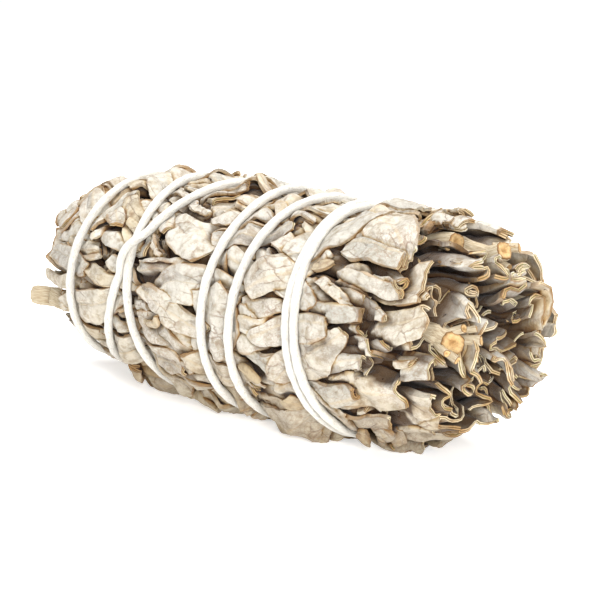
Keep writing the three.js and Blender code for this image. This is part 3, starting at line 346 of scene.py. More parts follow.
def make_leaf(x, turn, out):
    """Chooses a leaf's form, size, heading and cut for its place in the pile."""
    r = out / FULL
    outer, skinny = r > 13, r > 15.5
    form = pick(OUTER_FOLDS if outer else INNER_FOLDS)
    leaf = dict(turn=turn, near=False, far=False, torn=False, form=form, head=bell(20 if outer else 7))
    if outer and x < 26 and draw() < 0.3:
        leaf["head"] += between(22, 48) * (1 if draw() < 0.5 else -1)
    leaf["bend"] = bell(22)
    length = between(17, 30) if skinny else between(26, 40) if outer else between(34, 50)
    leaf["width"] = between(8.5, 13) if skinny else between(9, 12.5) if r < 9 else between(11, 16)
    if form in ("fold", "roll", "zed"):
        leaf["width"] += 2.5
    cut = near_cut(r + 0.7) + bell(1.5) - (16 if r > 16.5 else 6 if r > 11 else 3) * draw() ** 1.3
    far = far_cut(r) + bell(1.5)
    leaf.update(tip=0.05, base=0.97)
    start, stop = x - length / 2, x + length / 2
    if stop > cut - (6 if outer else 16):
        stop = cut
        leaf.update(base=between(0.6, 0.82), near=True)
    if start < far + 4:
        start = far
        leaf.update(tip=between(0.1, 0.3), far=True)
    if leaf["near"] or leaf["far"]:
        length = (stop - start) / max(0.55, cos(radians(leaf["head"])))
    leaf.update(x=0.5 * (start + stop), length=length, rows=max(8, int(length / 2.0 + 0.5)))
    leaf.update(open=between(0.02, 0.16), wave=between(0.6, 1.6), phase=draw(), curl=between(0.7, 1.25))
    leaf.update(tilt=bell(7), mirror=draw() < 0.5, shift=bell(0.12))
    leaf["soft"] = int(between(14, 40)) + (30 if r < 9 else 0)
    leaf.update(sag=between(0.05, 0.2), reach=max(3.2, out + 1.5), short=stop - start < 12)
    return leaf


def lay_stem(angle, out, radius, start, stop):
    reach, thick = out * LOOSE, radius * LOOSE
    v = np.radians(turned_from(angle))[None, :] * reach
    inside = (cells_x >= start) & (cells_x <= stop) & (np.abs(v) < thick)
    top = reach + np.sqrt(np.maximum(thick * thick - v * v, 0)) + 0.3
    pile[:] = np.where(inside, np.maximum(pile, top), pile)


def thinnest(tries, first, last, spots, chance):
    """The thinnest of some random places: how full the pile is there, its x, turn and distance out."""
    places = []
    for _ in range(tries):
        x, turn = between(first, last), between(0, 360)
        out = sample(pile, x + spots[0], turn + spots[1]).mean()
        places.append((out / skin(x) + (chance * draw() if chance else 0), x, turn, out))
    return min(places)


def lay_bunch():
    leaves, waiting = [], list(STEMS)
    spots = np.array([[-4, 0, 0, 0, 4, 0], [0, 0, 10, -10, 0, 0]])
    for _ in range(MOST_LEAVES):
        for stem in list(waiting):
            _, angle, out, radius, start, stop = stem
            xs = np.linspace(start, stop, 12)
            if sample(pile, xs, np.full(12, float(angle))).mean() >= (out - radius) * LOOSE:
                lay_stem(*stem[1:])
                waiting.remove(stem)
        score, *place = thinnest(PLACES_TRIED, -46, 52, spots, 0.03)
        if score > FULL:
            break
        leaf = make_leaf(*place)
        if not leaf["short"]:
            lay_leaf(leaf)
            leaves.append(leaf)
    return leaves


leaves = lay_bunch()
# How much the pile shrinks to the skin, and where the string presses on it
level = pile.copy()
for _ in range(14):
    level = (np.roll(level, 1, 1) + np.roll(level, -1, 1) + 2 * level) / 4
    wide = np.pad(level, ((1, 1), (0, 0)), mode="edge")
    level = (wide[:-2] + wide[2:] + 2 * level) / 4
shrink = skin(cells_x) / (level * 1.06)
press = np.zeros(pile.shape)
for turn in np.arange(ROUTE[0][0], ROUTE[-1][0] + 0.1, 3.0):
    square = (cells_x - route_x(turn)) ** 2 + (turned_from(turn) * ARC)[None, :] ** 2
    np.maximum(press, np.exp(-square / PRESSED ** 2), out=press)


# The whole bundle is gently waved, and the leaves swirl a little at its two ends.
END_RISE = 2.8               # the cut end lifts clear of the surface by this
CORE = 5.0                   # how far in from the skin the leaves are squeezed
BITE = 1.55                  # how far the string presses them in
# Length and height of the waves
WAVES = [(17, .5), (13, .45), (11, .4), (9, .34), (7.5, .26), (6.5, .22), (5.2, .16), (4.4, .13)]
SWIRLS = 9


def draw_waves():
    """Waves as way, move and phase, and swirls as place, reach and turn."""
    wild = random_draws(77)
    waves, swirls = [], []

    def any_way(along):
        u, v = 2 * wild() - 1, 2 * pi * wild()
        q = sqrt(1 - u * u)
        return np.array([u * along, q * cos(v), q * sin(v)])

    for length, size in WAVES:
        for _ in range(3):
            along = any_way(0.75)
            along = along / sqrt((along * along).sum()) * 2 * pi / length
            waves.append((along, any_way(1) * size, 2 * pi * wild()))
    for k in range(SWIRLS):
        place = 2 * pi * (k + 0.3 * wild()) / SWIRLS
        out, reach = 5 + 8.5 * wild(), 3.2 + 2.6 * wild()
        turn = radians(35 + 50 * wild()) * (1 if wild() < 0.5 else -1)
        swirls.append((-out * sin(place), out * cos(place), reach, turn))
    return waves, swirls


waves, swirls = draw_waves()


def risen(x):
    """How far the bundle's end rises from the surface at x."""
    return END_RISE * smooth((x - 19) / 32.0)


def pressed_in(x, turn, loose):
    """Distance from the axis once the pile is pressed in to the skin, further under the string."""
    f = sample(shrink, x, turn)
    p = sample(press, x, turn)
    r = loose * f
    top = np.maximum(sample(pile, x, turn) * f, r)
    limit = skin(x) * (1 + 0.018 * (1 - p)) - BITE * p + (1 - p) * 0.3
    core = limit - CORE
    squeezed = core + (r - core) * (limit - core) / np.maximum(top - core, 1e-6)
    return np.where((top > limit) & (r > core), squeezed, r), np.maximum(top, r) - r, p


def place(x, turn, loose):
    """A point of the loose pile on the finished bundle, in millimetres round its own axis."""
    r, deep, p = pressed_in(x, turn, loose)
    t = np.radians(turn)
    y, z = -r * np.sin(t), r * np.cos(t)
    ramp = smooth((x - 25) / 16.0) + smooth((-x - 38) / 10.0)
    for cy, cz, reach, turn_by in swirls:
        dy, dz = y - cy, z - cz
        g = turn_by * ramp * np.exp(-(dy * dy + dz * dz) / reach ** 2)
        y = cy + dy * np.cos(g) - dz * np.sin(g)
        z = cz + dy * np.sin(g) + dz * np.cos(g)
    points = np.stack([x, y, z], -1)
    moved = 0
    for along, move, phase in waves:
        moved = moved + np.sin(points @ along + phase)[..., None] * move
    points = points + 0.5 * moved * (1 - 0.75 * p)[..., None]
    points[..., 2] += risen(x)
    return points, deep, p


def unit(v, least=1e-9):
    return v / np.maximum(np.linalg.norm(v, axis=-1, keepdims=True), least)


def distance_out(points):
    return np.hypot(points[..., 1], points[..., 2])


def drawn_in(points, share):
    """Points with their distance from the axis multiplied by a share."""
    return points * np.stack([np.ones(share.shape), share, share], -1)


def face_normals(points):
    return unit(np.cross(np.gradient(points, axis=0), np.gradient(points, axis=1)))


def zigzag(t):
    """Straight slopes with sharp turns, from -0.5 to 0.5, twice for each unit."""
    return np.abs((t * 2) % 2 - 1) - 0.5


# Each leaf has crumples of its own, and whole layers were crushed together, so they share sharp
# creases. Both ends are domed, and their leaves close in towards the middle.
CRUMPLES = [(11, 0.36), (8, 0.32), (6.2, 0.2), (4.6, 0.1), (3.1, 0.05)]      # length, height
DOME_X = [-54, -48, -44, -40, -36, -32, 30, 38, 42, 45, 48, 50, 52, 54, 55.5, 57]
DOME_R = [11.5, 13.4, 15.2, 17.2, 19.5, 30, 30, 21, 19.2, 18.2, 17.1, 16.2, 15.0, 13.4, 11.5, 10.0]
NEAR_DOME = slice(6, None)   # the dome of the cut end
CLOSING = 0.86               # leaves start to close in at this share of the dome
crushed = np.random.default_rng(5)
shared_creases = []
for length, size in [(15, 0.7), (13, 0.62), (11, 0.56), (9, 0.46), (8, 0.4), (6.5, 0.32)]:
    along, across = crushed.normal(size=(2, 3))
    shared_creases.append((unit(along), unit(across), length, size))


def crumpled(x, turn, loose, a, q, seed, lift):
    """A leaf on the bundle with its crumples and creases, less where the string holds it down."""
    wild = np.random.default_rng(seed)
    points, deep, p = place(x, turn, loose)
    held = 1 - 0.8 * p
    bumps = np.zeros(a.shape)
    for length, size in CRUMPLES:
        angle = wild.uniform(0, pi)
        along = (a * cos(angle) + q * sin(angle)) / length + wild.uniform(0, 9)
        along = along + 0.22 * np.sin((a * sin(angle) - q * cos(angle)) / length * 3 + wild.uniform(0, 6))
        bumps += size * zigzag(along)
    points = points + face_normals(points) * (lift * bumps * held)[..., None]
    creased = 0
    for along, across, length, size in shared_creases:
        bent = 0.3 * np.sin(points @ across / length * 2.4)
        creased = creased + size * zigzag(points @ along / length + bent)
    r = distance_out(points)
    out = points * [0, 1, 1] / np.maximum(r, 1)[..., None]
    points = points + out * (creased * smooth((r - 8) / 8) * held)[..., None]
    rise = np.zeros(points.shape)
    rise[..., 2] = risen(points[..., 0])
    r = distance_out(points - rise)
    most = np.interp(points[..., 0], DOME_X, DOME_R)
    over = np.maximum(r / most - CLOSING, 0)
    share = np.where(over > 0, (CLOSING + 0.16 * np.tanh(over / 0.16)) * most / np.maximum(r, 1e-6), 1)
    return drawn_in(points - rise, share) + rise, deep


# The groove that the string makes: how far out a leaf may reach, by place and turn.
GROOVE_X, GROOVE_CELLS = -46.0, (320, 720)
X_STEPS, TURN_STEPS = 4, 2   # cells for a millimetre and for a degree
clear = STRING_THICK / 2 + 0.07
groove = np.full(GROOVE_CELLS, 99.0)
for turn, (x, y, z) in zip(*string_line(0.5)):
    near_x = np.arange(int((x - 1.0 - GROOVE_X) * X_STEPS), int((x + 1.0 - GROOVE_X) * X_STEPS) + 2)
    away = GROOVE_X + near_x / X_STEPS - x
    low = sqrt(y * y + z * z) - np.sqrt(np.maximum(clear ** 2 - away ** 2, 0)) * 0.98
    low = np.where(np.abs(away) < clear, low, 99.0)
    column = int(round(turn * TURN_STEPS)) % GROOVE_CELLS[1]
    groove[near_x, column] = np.minimum(groove[near_x, column], low)


def under_string(points):
    """Presses what would reach the string in under it, as the cord bites into the bundle."""
    turn = np.degrees(np.arctan2(-points[..., 1], points[..., 2])) % 360
    ix = np.clip(np.round((points[..., 0] - GROOVE_X) * X_STEPS).astype(int), 0, GROOVE_CELLS[0] - 1)
    it = np.round(turn * TURN_STEPS).astype(int) % GROOVE_CELLS[1]
    return drawn_in(points, np.minimum(1, groove[ix, it] / np.maximum(distance_out(points), 1e-6)))


# Ends are torn and uneven, and they stop at different lengths. Where a leaf would stand across a
# stem's cut, seen from the open side of the cut end, it is cut shorter.
OPEN_SIDE = np.array([0.678, -0.692, 0.246])
CUT_STEMS = ("stem_top", "stem_front", "stem_top_back")
UNEVEN_TURNS = [0, 60, 150, 190, 265, 300, 350, 360]
UNEVEN_BY = [1.3, 1, 1, 0.2, 0.3, 1.5, 1.6, 1.3]       # how unevenly the ends stop, by their turn
FRAYED = 6                   # torn ends pull this length of the leaf


def noise_line(places, length, wild):
    """Uneven steps from -1 to 1 along an edge, in millimetres."""
    knots = wild.uniform(-1, 1, 64)
    f = (np.asarray(places) / length + wild.uniform(0, 50)) % 63
    i = f.astype(int)
    return knots[i] + (knots[i + 1] - knots[i]) * smooth(f - i)


def room_for_stems(x, turn, loose, a):
    """How much shorter each strip of a leaf ends, where it would stand across a stem's cut."""
    if x.max() < 38:
        return np.zeros(a.shape[1])
    points, _, _ = place(x, turn, loose)
    r = np.hypot(points[-1, :, 1], points[-1, :, 2] - risen(x[-1]))
    dome = np.interp(-r, -np.array(DOME_R[NEAR_DOME]), DOME_X[NEAR_DOME])
    pull = np.clip(x[-1] - dome - 0.5, 0, 5) * 0.75
    for name, angle, out, radius, _, stop in STEMS:
        if name not in CUT_STEMS:
            continue
        end, _, _ = place(*np.array([[stop], [angle], [out * LOOSE]], float))
        away = points - end[0]
        ahead = away @ OPEN_SIDE
        beside = np.linalg.norm(away - ahead[..., None] * OPEN_SIDE, axis=-1)
        across = (beside < radius + 1.3) & (ahead > 0.2) & (ahead < 14) & (a > a.max() - 11)
        first = a.max() - np.where(across, a, 1e3).min(axis=0) + 0.6
        pull = np.maximum(pull, np.where(across.any(axis=0), first, 0))
    return np.maximum(pull, 0.75 * np.maximum(np.roll(pull, 1), np.roll(pull, -1)))


def leaf_points(leaf, fine, coarse):
    """Middle surface of a finished leaf, finely divided where it shows and coarsely inside the bundle."""
    wild = np.random.default_rng(int(leaf["x"] * 100 + leaf["turn"] * 1000) % 2 ** 31)
    line_a, line = leaf_line(leaf)
    length, width = leaf["length"], leaf["width"]
    stations, a = [0.0], 0.0
    while a < length - 0.3:
        here = np.interp(a, line_a, line[0, :, 0])
        a = min(a + (fine if here > 33 or here < -37 else coarse), length)
        stations.append(a)
    a = np.array(stations)
    q, b, h = leaf_section(leaf, a, max(9, int(width / (fine * 1.15)) + 1))
    x, turn = on_pile(leaf, [np.interp(a, line_a, v[:, 0])[:, None] for v in line], b)
    r = bed_height(leaf, (a / length * leaf["rows"])[:, None] + 0 * b, b) + h
    a = np.repeat(a[:, None], q.shape[1], axis=1)
    torn = []
    for ends, cut in ((q[-1], leaf["near"]), (q[0], leaf["far"])):
        uneven = 0.55 * noise_line(ends, 1.3, wild) + 1.1 * noise_line(ends, 4.5, wild) + 1.1
        torn.append(uneven[None, :] * (1 if cut else 0.35))
    pulled = 0
    if leaf["near"]:
        uneven = np.interp(leaf["turn"] % 360, UNEVEN_TURNS, UNEVEN_BY)
        shorter = room_for_stems(x, turn, r, a) + 3.6 * uneven * wild.uniform(0, 1) ** 1.8
        pulled = smooth((a - (length - TAPER)) / TAPER) * shorter[None, :]
    near, far = smooth((a - (length - FRAYED)) / FRAYED) * torn[0], smooth((FRAYED - a) / FRAYED) * torn[1]
    wanted = np.clip(a - near + far - pulled, 0, length)
    for j in range(a.shape[1]):
        for field in (x, turn, r, q):
            field[:, j] = np.interp(wanted[:, j], a[:, j], field[:, j])
    a = wanted
    s = np.linspace(-1, 1, q.shape[1])
    for side in (-1, 1):
        tooth = 0.16 * noise_line(a[:, 0], 1.1, wild) + 0.5 * noise_line(a[:, 0], 5, wild) + 0.45
        pull = (tooth / np.maximum(np.abs(q[:, -1]), 1.5))[:, None] * smooth((side * s[None, :] - 0.2) / 0.8)
        for i in range(a.shape[0]):
            for field in (x, turn, r, q, a):
                field[i] = np.interp(s - side * pull[i], s, field[i])
    return x, turn, r, a, q


def bed_height(leaf, row, b):
    """Smooth look-up of the bed that a leaf lies on."""
    bed = np.pad(leaf["bed"], 2, mode="edge")

    def weights(f):
        i = np.floor(f).astype(int)
        u = f - i
        two = (3 * u ** 3 - 6 * u ** 2 + 4) / 6
        return i, [(1 - u) ** 3 / 6, two, (-3 * u ** 3 + 3 * u ** 2 + 3 * u + 1) / 6, u ** 3 / 6]

    i, wi = weights(row)
    j, wj = weights((b - leaf["low_b"]) / leaf["step"])
    rows = [np.clip(i + m + 1, 0, bed.shape[0] - 1) for m in range(4)]
    columns = [np.clip(j + n + 1, 0, bed.shape[1] - 1) for n in range(4)]
    return sum(wi[m] * wj[n] * bed[rows[m], columns[n]] for m in range(4) for n in range(4))


# A leaf is a closed blade with two felted faces and a rim. It carries what its colour depends on:
# how near each point is to a margin, to a cut, to the cut's core and to the bundle's outside.
SAG = 2.2                    # how far the underside settles where it lies
MIDDLE = [-3.4, -0.2, 0]     # brings the middle of the whole bundle over the origin
COLOURED_BY = ("tone", "edge", "cut", "core", "deep", "shown")


def on_surface(points):
    """From millimetres on the bundle's own axis to metres in the model, settled on what it lies on."""
    points = points + [0, 0, AXIS_HEIGHT]
    points[..., 2] -= SAG * (1 - smooth(points[..., 2] / 7))
    points[..., 2] = np.maximum(points[..., 2], 0)
    return (points + MIDDLE) * 0.001


def blade(leaf, fine, coarse, lift, shown):
    """One finished leaf: its corners and faces, and what its colour depends on."""
    x, turn, loose, a, q = leaf_points(leaf, fine, coarse)
    seed = int(abs(leaf["x"]) * 173 + leaf["turn"] * 911) % 2 ** 31
    points, deep = crumpled(x, turn, loose, a, q, seed, lift)
    rows, columns = a.shape
    thick = 1 + 0.12 * np.sin(a * 1.7 + q * 1.1) + 0.15 * smooth((x - 38) / 10)
    apart = face_normals(points) * (0.5 * LEAF_THICK * thick[..., None])
    count = rows * columns
    index = np.arange(count).reshape(rows, columns)
    faces = np.stack([index[:-1, :-1], index[1:, :-1], index[1:, 1:], index[:-1, 1:]], -1).reshape(-1, 4)
    ring = np.concatenate([index[0, :-1], index[:-1, -1], index[-1, :0:-1], index[:0:-1, 0]])
    middle = 2 * count + np.arange(len(ring))
    after, middle_after = np.roll(ring, -1), np.roll(middle, -1)
    row, column = np.unravel_index(ring, (rows, columns))
    inside = np.clip(row, 1, rows - 2) * columns + np.clip(column, 1, columns - 2)
    flat = points.reshape(-1, 3)
    rim = flat[ring] + 0.1 * unit(flat[inside] - flat[ring], 1e-6)
    quads = np.concatenate([faces, faces[:, ::-1] + count, np.stack([ring, after, middle_after, middle], -1),
                            np.stack([middle, middle_after, after + count, ring + count], -1)])
    edge = (np.abs(q[:, -1:]) - np.abs(q)).clip(0, 5)
    edge[:, 0] = edge[:, -1] = 0
    cut = np.full(a.shape, 5.0)
    if leaf["near"] or leaf["torn"]:
        cut = np.minimum(cut, a.max(axis=0) - a)
    if leaf["far"] or leaf["torn"]:
        cut = np.minimum(cut, a - a.min(axis=0))
    out = distance_out(points)
    from_end = np.minimum(np.abs(near_cut(out) - x), np.abs(x - far_cut(out)))

    def all_round(values):
        values = values.reshape(count, -1)
        return np.concatenate([values, values, values[ring]])

    cut = all_round(cut)[:, 0]
    core = np.where(cut < 0.3, 1.0, 0.15)
    core[:2 * count] = 0
    return dict(
        corners=np.concatenate([(points + apart).reshape(-1, 3), (points - apart).reshape(-1, 3), rim]),
        quads=quads, tone=np.full(len(cut), leaf["tone"]), edge=all_round(edge)[:, 0], cut=cut, core=core,
        deep=all_round(np.minimum(deep, 0.42 * from_end))[:, 0], shown=np.full(len(cut), shown),
        flat=all_round(np.stack([a, q], -1)),
    )


def read(things, key, width=1, kind=float):
    """One property of all of a mesh's corners, loops or faces."""
    values = np.zeros(len(things) * width, kind)
    things.foreach_get(key, values)
    return values.reshape(-1, width) if width > 1 else values


def linked(name, mesh):
    piece = bpy.data.objects.new(name, mesh)
    bpy.context.scene.collection.objects.link(piece)
    return piece


def lay_map(mesh, name, corners):
    """A UV map from one pair of places for each loop."""
    mesh.uv_layers.new(name=name).data.foreach_set("uv", corners.astype(np.float32).ravel())


def mesh_piece(name, parts):
    """Joins blades into one mesh object that carries their colour attributes and a flat UV map."""
    starts = np.cumsum([0] + [len(part["corners"]) for part in parts])
    corners = on_surface(under_string(np.concatenate([part["corners"] for part in parts])))
    quads = np.concatenate([part["quads"] + start for part, start in zip(parts, starts)])
    mesh = bpy.data.meshes.new(name)
    mesh.from_pydata(corners.tolist(), [], quads.tolist())
    for key in COLOURED_BY:
        values = np.concatenate([part[key] for part in parts]).astype(np.float32)
        mesh.attributes.new(key, "FLOAT", "POINT").data.foreach_set("value", values)
    flat = np.concatenate([part["flat"] + 40 * i for i, part in enumerate(parts)]) * 0.1
    lay_map(mesh, "flat", flat[quads.ravel()])
    piece = linked(name, mesh)
    bpy.context.view_layer.objects.active = piece
    piece.select_set(True)
    bpy.ops.object.shade_smooth_by_angle(angle=radians(34))
    piece.select_set(False)
    return piece


# Round the middle, short pieces of leaf lie flat over the long ones, at all angles, and small dry
# scraps and young leaves fill the hollows between them. At the cut end stand some cut-off tips.
SHORT_PIECES = [             # count, and first and last place along the bundle
    ("tip", 34, 36, 46), ("flat", 125, -44, 29), ("scrap", 70, -44, 40)]
TIP_FOLDS = dict(fold=0.3, halfroll=0.16, cup=0.18, zed=0.2, hem=0.16)
SCRAP_FOLDS = dict(roll=0.2, arch=0.2, cup=0.15, fold=0.15, oneroll=0.15, margins=0.15)
FLAT_FOLDS = dict(arch=0.16, fold=0.17, crease=0.24, flap=0.18, hem=0.17, oneroll=0.08)


def make_piece(x, turn, out, kind):
    """A short piece: scraps curl as they like, flat ones were pressed, tips are cut off with the end."""
    leaf = dict(turn=turn, near=kind == "tip", far=False, x=x, reach=max(3.2, out + 1.5))
    if kind == "tip":
        length = between(12, 19)
        leaf.update(form=pick(TIP_FOLDS), head=bell(16), bend=bell(24), length=length, width=between(9, 14))
        leaf.update(curl=between(0.6, 1.1), tilt=bell(9), soft=int(between(10, 24)))
        dome = np.interp(-out / FULL, -np.array(DOME_R[NEAR_DOME]), DOME_X[NEAR_DOME])
        leaf["x"] = dome - between(0, 4) - length / 2
    elif kind == "scrap":
        leaf.update(form=pick(SCRAP_FOLDS), head=between(-85, 85), bend=bell(50), length=between(5, 11))
        leaf.update(width=between(3.5, 7), curl=between(0.7, 1.3), tilt=bell(14), soft=int(between(8, 20)))
    else:
        head = between(-90, 90) if draw() < 0.55 else bell(34)
        leaf.update(form=pick(FLAT_FOLDS), head=head, bend=bell(40), length=between(13, 25))
        leaf.update(width=between(8.5, 15), curl=between(0.2, 0.7), tilt=bell(5), soft=int(between(22, 40)))
    leaf.update(rows=max(8, int(leaf["length"])), tip=between(0.0, 0.16), base=between(0.76, 1.0))
    leaf.update(open=between(0.02, 0.12), wave=between(0.6, 1.6), phase=draw())
    leaf.update(mirror=draw() < 0.5, shift=bell(0.2), sag=between(0.1, 0.3), torn=draw() < 0.45)
    return leaf


# Tones: the lowest are brown, withered leaves, and the others go from tan through cream to grey-green
for leaf in leaves:
    leaf["tone"] = 0.12 * draw() if draw() < 0.1 else between(0.22, 1.0)
for kind, count, first, last in SHORT_PIECES:
    for _ in range(count):
        short = make_piece(*thinnest(10, first, last, np.zeros((2, 1)), 0)[1:], kind)
        withered = 0.3 if kind == "scrap" else 0.03
        short["tone"] = between(0.06, 0.27) if draw() < withered else between(0.3, 1.0)
        lay_leaf(short)
        leaves.append(short)


def outermost(leaf):
    """How far out in the pile a leaf lies, from 0 at the axis to 1 for one that shows all over."""
    line_a, line = leaf_line(leaf)
    _, b, h = leaf_section(leaf, line_a, 7)
    r = bed_height(leaf, np.arange(len(line_a))[:, None] + 0 * b, b) + h
    return (r / np.maximum(sample(pile, *on_pile(leaf, line, b)), r)).mean()


# Felt on both faces: pale grey to cream, browned at thin edges, with painted shade in the hollows between
# leaves, and a net of small veins. The cut shows a line of olive-green leaf between the two coats.
def node(tree, kind, settings=None, **inputs):
    """Adds a node; each input, by its name or as i and its number, is a value or another node's output."""
    made = tree.nodes.new("ShaderNode" + kind)
    for key, value in (settings or {}).items():
        setattr(made, key, value)
    for key, value in inputs.items():
        socket = made.inputs[int(key[1:]) if key[1:].isdigit() else key.replace("_", " ")]
        if isinstance(value, bpy.types.NodeSocket):
            tree.links.new(value, socket)
        else:
            socket.default_value = value
    return made


def worked_out(operation):
    def work(first, second):
        return node(first.id_data, "Math", {"operation": operation}, i0=first, i1=second).outputs[0]
    return work


def vector(operation, first, second, *third):
    """A place or a colour worked out as a vector."""
    more = {"i2": third[0]} if third else {}
    return node(first.id_data, "VectorMath", {"operation": operation}, i0=first, i1=second, **more).outputs[0]


def noise(at, scale, detail, rough=0.5):
    return node(at.id_data, "TexNoise", Vector=at, Scale=scale, Detail=detail, Roughness=rough).outputs["Fac"]


def lines(at, scale, *stops):
    """A net of lines between uneven cells: greys along the distance from the nearest line."""
    cells = node(at.id_data, "TexVoronoi", {"feature": "DISTANCE_TO_EDGE"}, Vector=at, Scale=scale)
    return ramp(cells.outputs["Distance"], *stops)


def ramp(factor, *stops):
    """Colours, or greys from 0 to 1, at their places along a factor."""
    made = node(factor.id_data, "ValToRGB", Fac=factor)
    points = made.color_ramp.elements
    while len(points) < len(stops):
        points.new(0.5)
    for point, (position, colour) in zip(points, stops):
        point.position = position
        point.color = (*colour, 1) if isinstance(colour, tuple) else (colour, colour, colour, 1)
    return made.outputs["Color"]


def mix(factor, first, second, blend="MIX"):
    tree = next(value for value in (factor, first) if isinstance(value, bpy.types.NodeSocket)).id_data
    first, second = ((*value, 1) if isinstance(value, tuple) else value for value in (first, second))
    settings = {"data_type": "RGBA", "blend_type": blend, "clamp_factor": True}
    return node(tree, "Mix", settings, i0=factor, i6=first, i7=second).outputs[2]


plus, minus, times, larger, to_and_fro = (
    worked_out(name) for name in ("ADD", "SUBTRACT", "MULTIPLY", "MAXIMUM", "PINGPONG"))


def relief(*layers):
    """A height in metres, from layers of a value and its depth."""
    height = times(*layers[0])
    for layer in layers[1:]:
        height = plus(height, times(*layer))
    return height


def new_material(name):
    """A material, its tree, and the place on the piece that its patterns follow."""
    made = bpy.data.materials.new(name)
    made.use_nodes = True
    return made, made.node_tree, node(made.node_tree, "TexCoord").outputs["Object"]


def finish(tree, colour, rough, height, strength, shine):
    """Joins a material's colour, roughness and relief to its shader."""
    shader = tree.nodes["Principled BSDF"]
    bump = node(tree, "Bump", Height=height, Strength=strength, Distance=1.0)
    for value, key in ((colour, "Base Color"), (rough, "Roughness"), (bump.outputs["Normal"], "Normal")):
        tree.links.new(value, shader.inputs[key])
    shader.inputs["Specular IOR Level"].default_value = shine
    return shader


# Felt: fine matted hairs, as a colour value and a height
felt = bpy.data.node_groups.new("felt", "ShaderNodeTree")
felt.interface.new_socket("Vector", in_out="INPUT", socket_type="NodeSocketVector")
felt.interface.new_socket("Scale", in_out="INPUT", socket_type="NodeSocketFloat").default_value = 1.0
for key in ("Tint", "Height"):
    felt.interface.new_socket(key, in_out="OUTPUT", socket_type="NodeSocketFloat")
felt_in = felt.nodes.new("NodeGroupInput").outputs
felt_out = felt.nodes.new("NodeGroupOutput").inputs
felt_size = node(felt, "VectorMath", {"operation": "SCALE"}, i0=felt_in["Vector"], Scale=felt_in["Scale"])
felt_soft = noise(felt_size.outputs[0], 700.0, 4.0, 0.6)
felt_fine = noise(felt_size.outputs[0], 3200.0, 2.0)
felt.links.new(plus(times(felt_soft, 0.6), times(felt_fine, 0.4)), felt_out["Height"])
felt.links.new(felt_soft, felt_out["Tint"])


def matted(place_on, scale):
    """The felt's outputs on a piece."""
    made = place_on.id_data.nodes.new("ShaderNodeGroup")
    made.node_tree = felt
    place_on.id_data.links.new(place_on, made.inputs["Vector"])
    made.inputs["Scale"].default_value = scale
    return made.outputs


# Patterns on the leaf: their scales are for each metre of the piece, and each centimetre of the flat map
FACETS = 2.3                 # crushed facets for each centimetre of leaf
sage, tree, place_on = new_material("felted_sage_leaf")
flat_map = node(tree, "UVMap", {"uv_map": "flat"}).outputs["UV"]
tone, edge, core, cut, deep, sheltered = (
    node(tree, "Attribute", {"attribute_name": name}).outputs["Fac"]
    for name in ("tone", "edge", "core", "cut", "deep", "sheltered"))
blotch = noise(place_on, 95.0, 3.0, 0.55)
mottle = noise(place_on, 420.0, 4.0, 0.6)
fringe = noise(place_on, 230.0, 3.0)
felted = matted(place_on, 1.0)
colour = ramp(
    minus(plus(times(tone, 0.72), times(blotch, 0.42)), 0.07),
    (0.0, (0.19, 0.11, 0.05)), (0.12, (0.35, 0.25, 0.135)), (0.26, (0.44, 0.37, 0.25)),
    (0.42, (0.51, 0.465, 0.38)), (0.6, (0.54, 0.512, 0.45)), (0.76, (0.495, 0.475, 0.425)),
    (0.88, (0.43, 0.42, 0.37)), (1.0, (0.38, 0.355, 0.265)))
spots = ramp(mottle, (0.34, (0.66, 0.58, 0.47)), (0.47, (0.97, 0.96, 0.94)), (0.7, (1.07, 1.06, 1.05)))
speckle = ramp(felted["Tint"], (0.36, (0.72, 0.67, 0.6)), (0.49, 1.0), (0.66, 1.12))
colour = mix(0.9, mix(0.8, colour, spots, "MULTIPLY"), speckle, "MULTIPLY")
# The net of veins, plainer on some leaves than on others, and the midrib
wander = node(tree, "TexNoise", Vector=flat_map, Scale=13.0, Detail=3.0).outputs["Color"]
veins_at = vector("MULTIPLY_ADD", wander, (0.13, 0.13, 0.0), flat_map)
veins = lines(veins_at, 11.0, (0.0, 0.75), (0.045, 0.25), (0.1, 0.0))
veins = larger(veins, lines(veins_at, 27.0, (0.0, 0.5), (0.07, 0.0)))
colour = mix(times(veins, ramp(blotch, (0.42, 0.15), (0.62, 1.0))), colour, (0.30, 0.21, 0.155))
across = node(tree, "SeparateXYZ", Vector=flat_map).outputs["Y"]
midrib = ramp(to_and_fro(across, 2.0), (0.0, 1.0), (0.03, 0.7), (0.055, 0.0))
colour = mix(times(midrib, 0.45), colour, (0.50, 0.40, 0.26))
# Sharp creases where the leaf was crushed, browned here and there
crushed_at = vector("MULTIPLY_ADD", wander, (0.1, 0.1, 0.0), flat_map)
creases = lines(crushed_at, FACETS, (0.0, 1.0), (0.018, 0.6), (0.045, 0.0))
creases = times(creases, ramp(noise(place_on, 150.0, 2.0), (0.47, 0.0), (0.58, 1.0)))
colour = mix(times(creases, 0.55), colour, (0.2, 0.11, 0.055))
# Margins tanned here and there, and cut edges browned along an uneven line
tanned = minus(times(minus(fringe, 0.36), 2.2), edge)
colour = mix(ramp(tanned, (0.0, 0.0), (0.35, 0.75)), colour, (0.33, 0.225, 0.125))
seared = minus(times(minus(fringe, 0.34), 1.9), cut)
colour = mix(ramp(seared, (0.0, 0.0), (0.22, 0.9)), colour, (0.24, 0.135, 0.05))
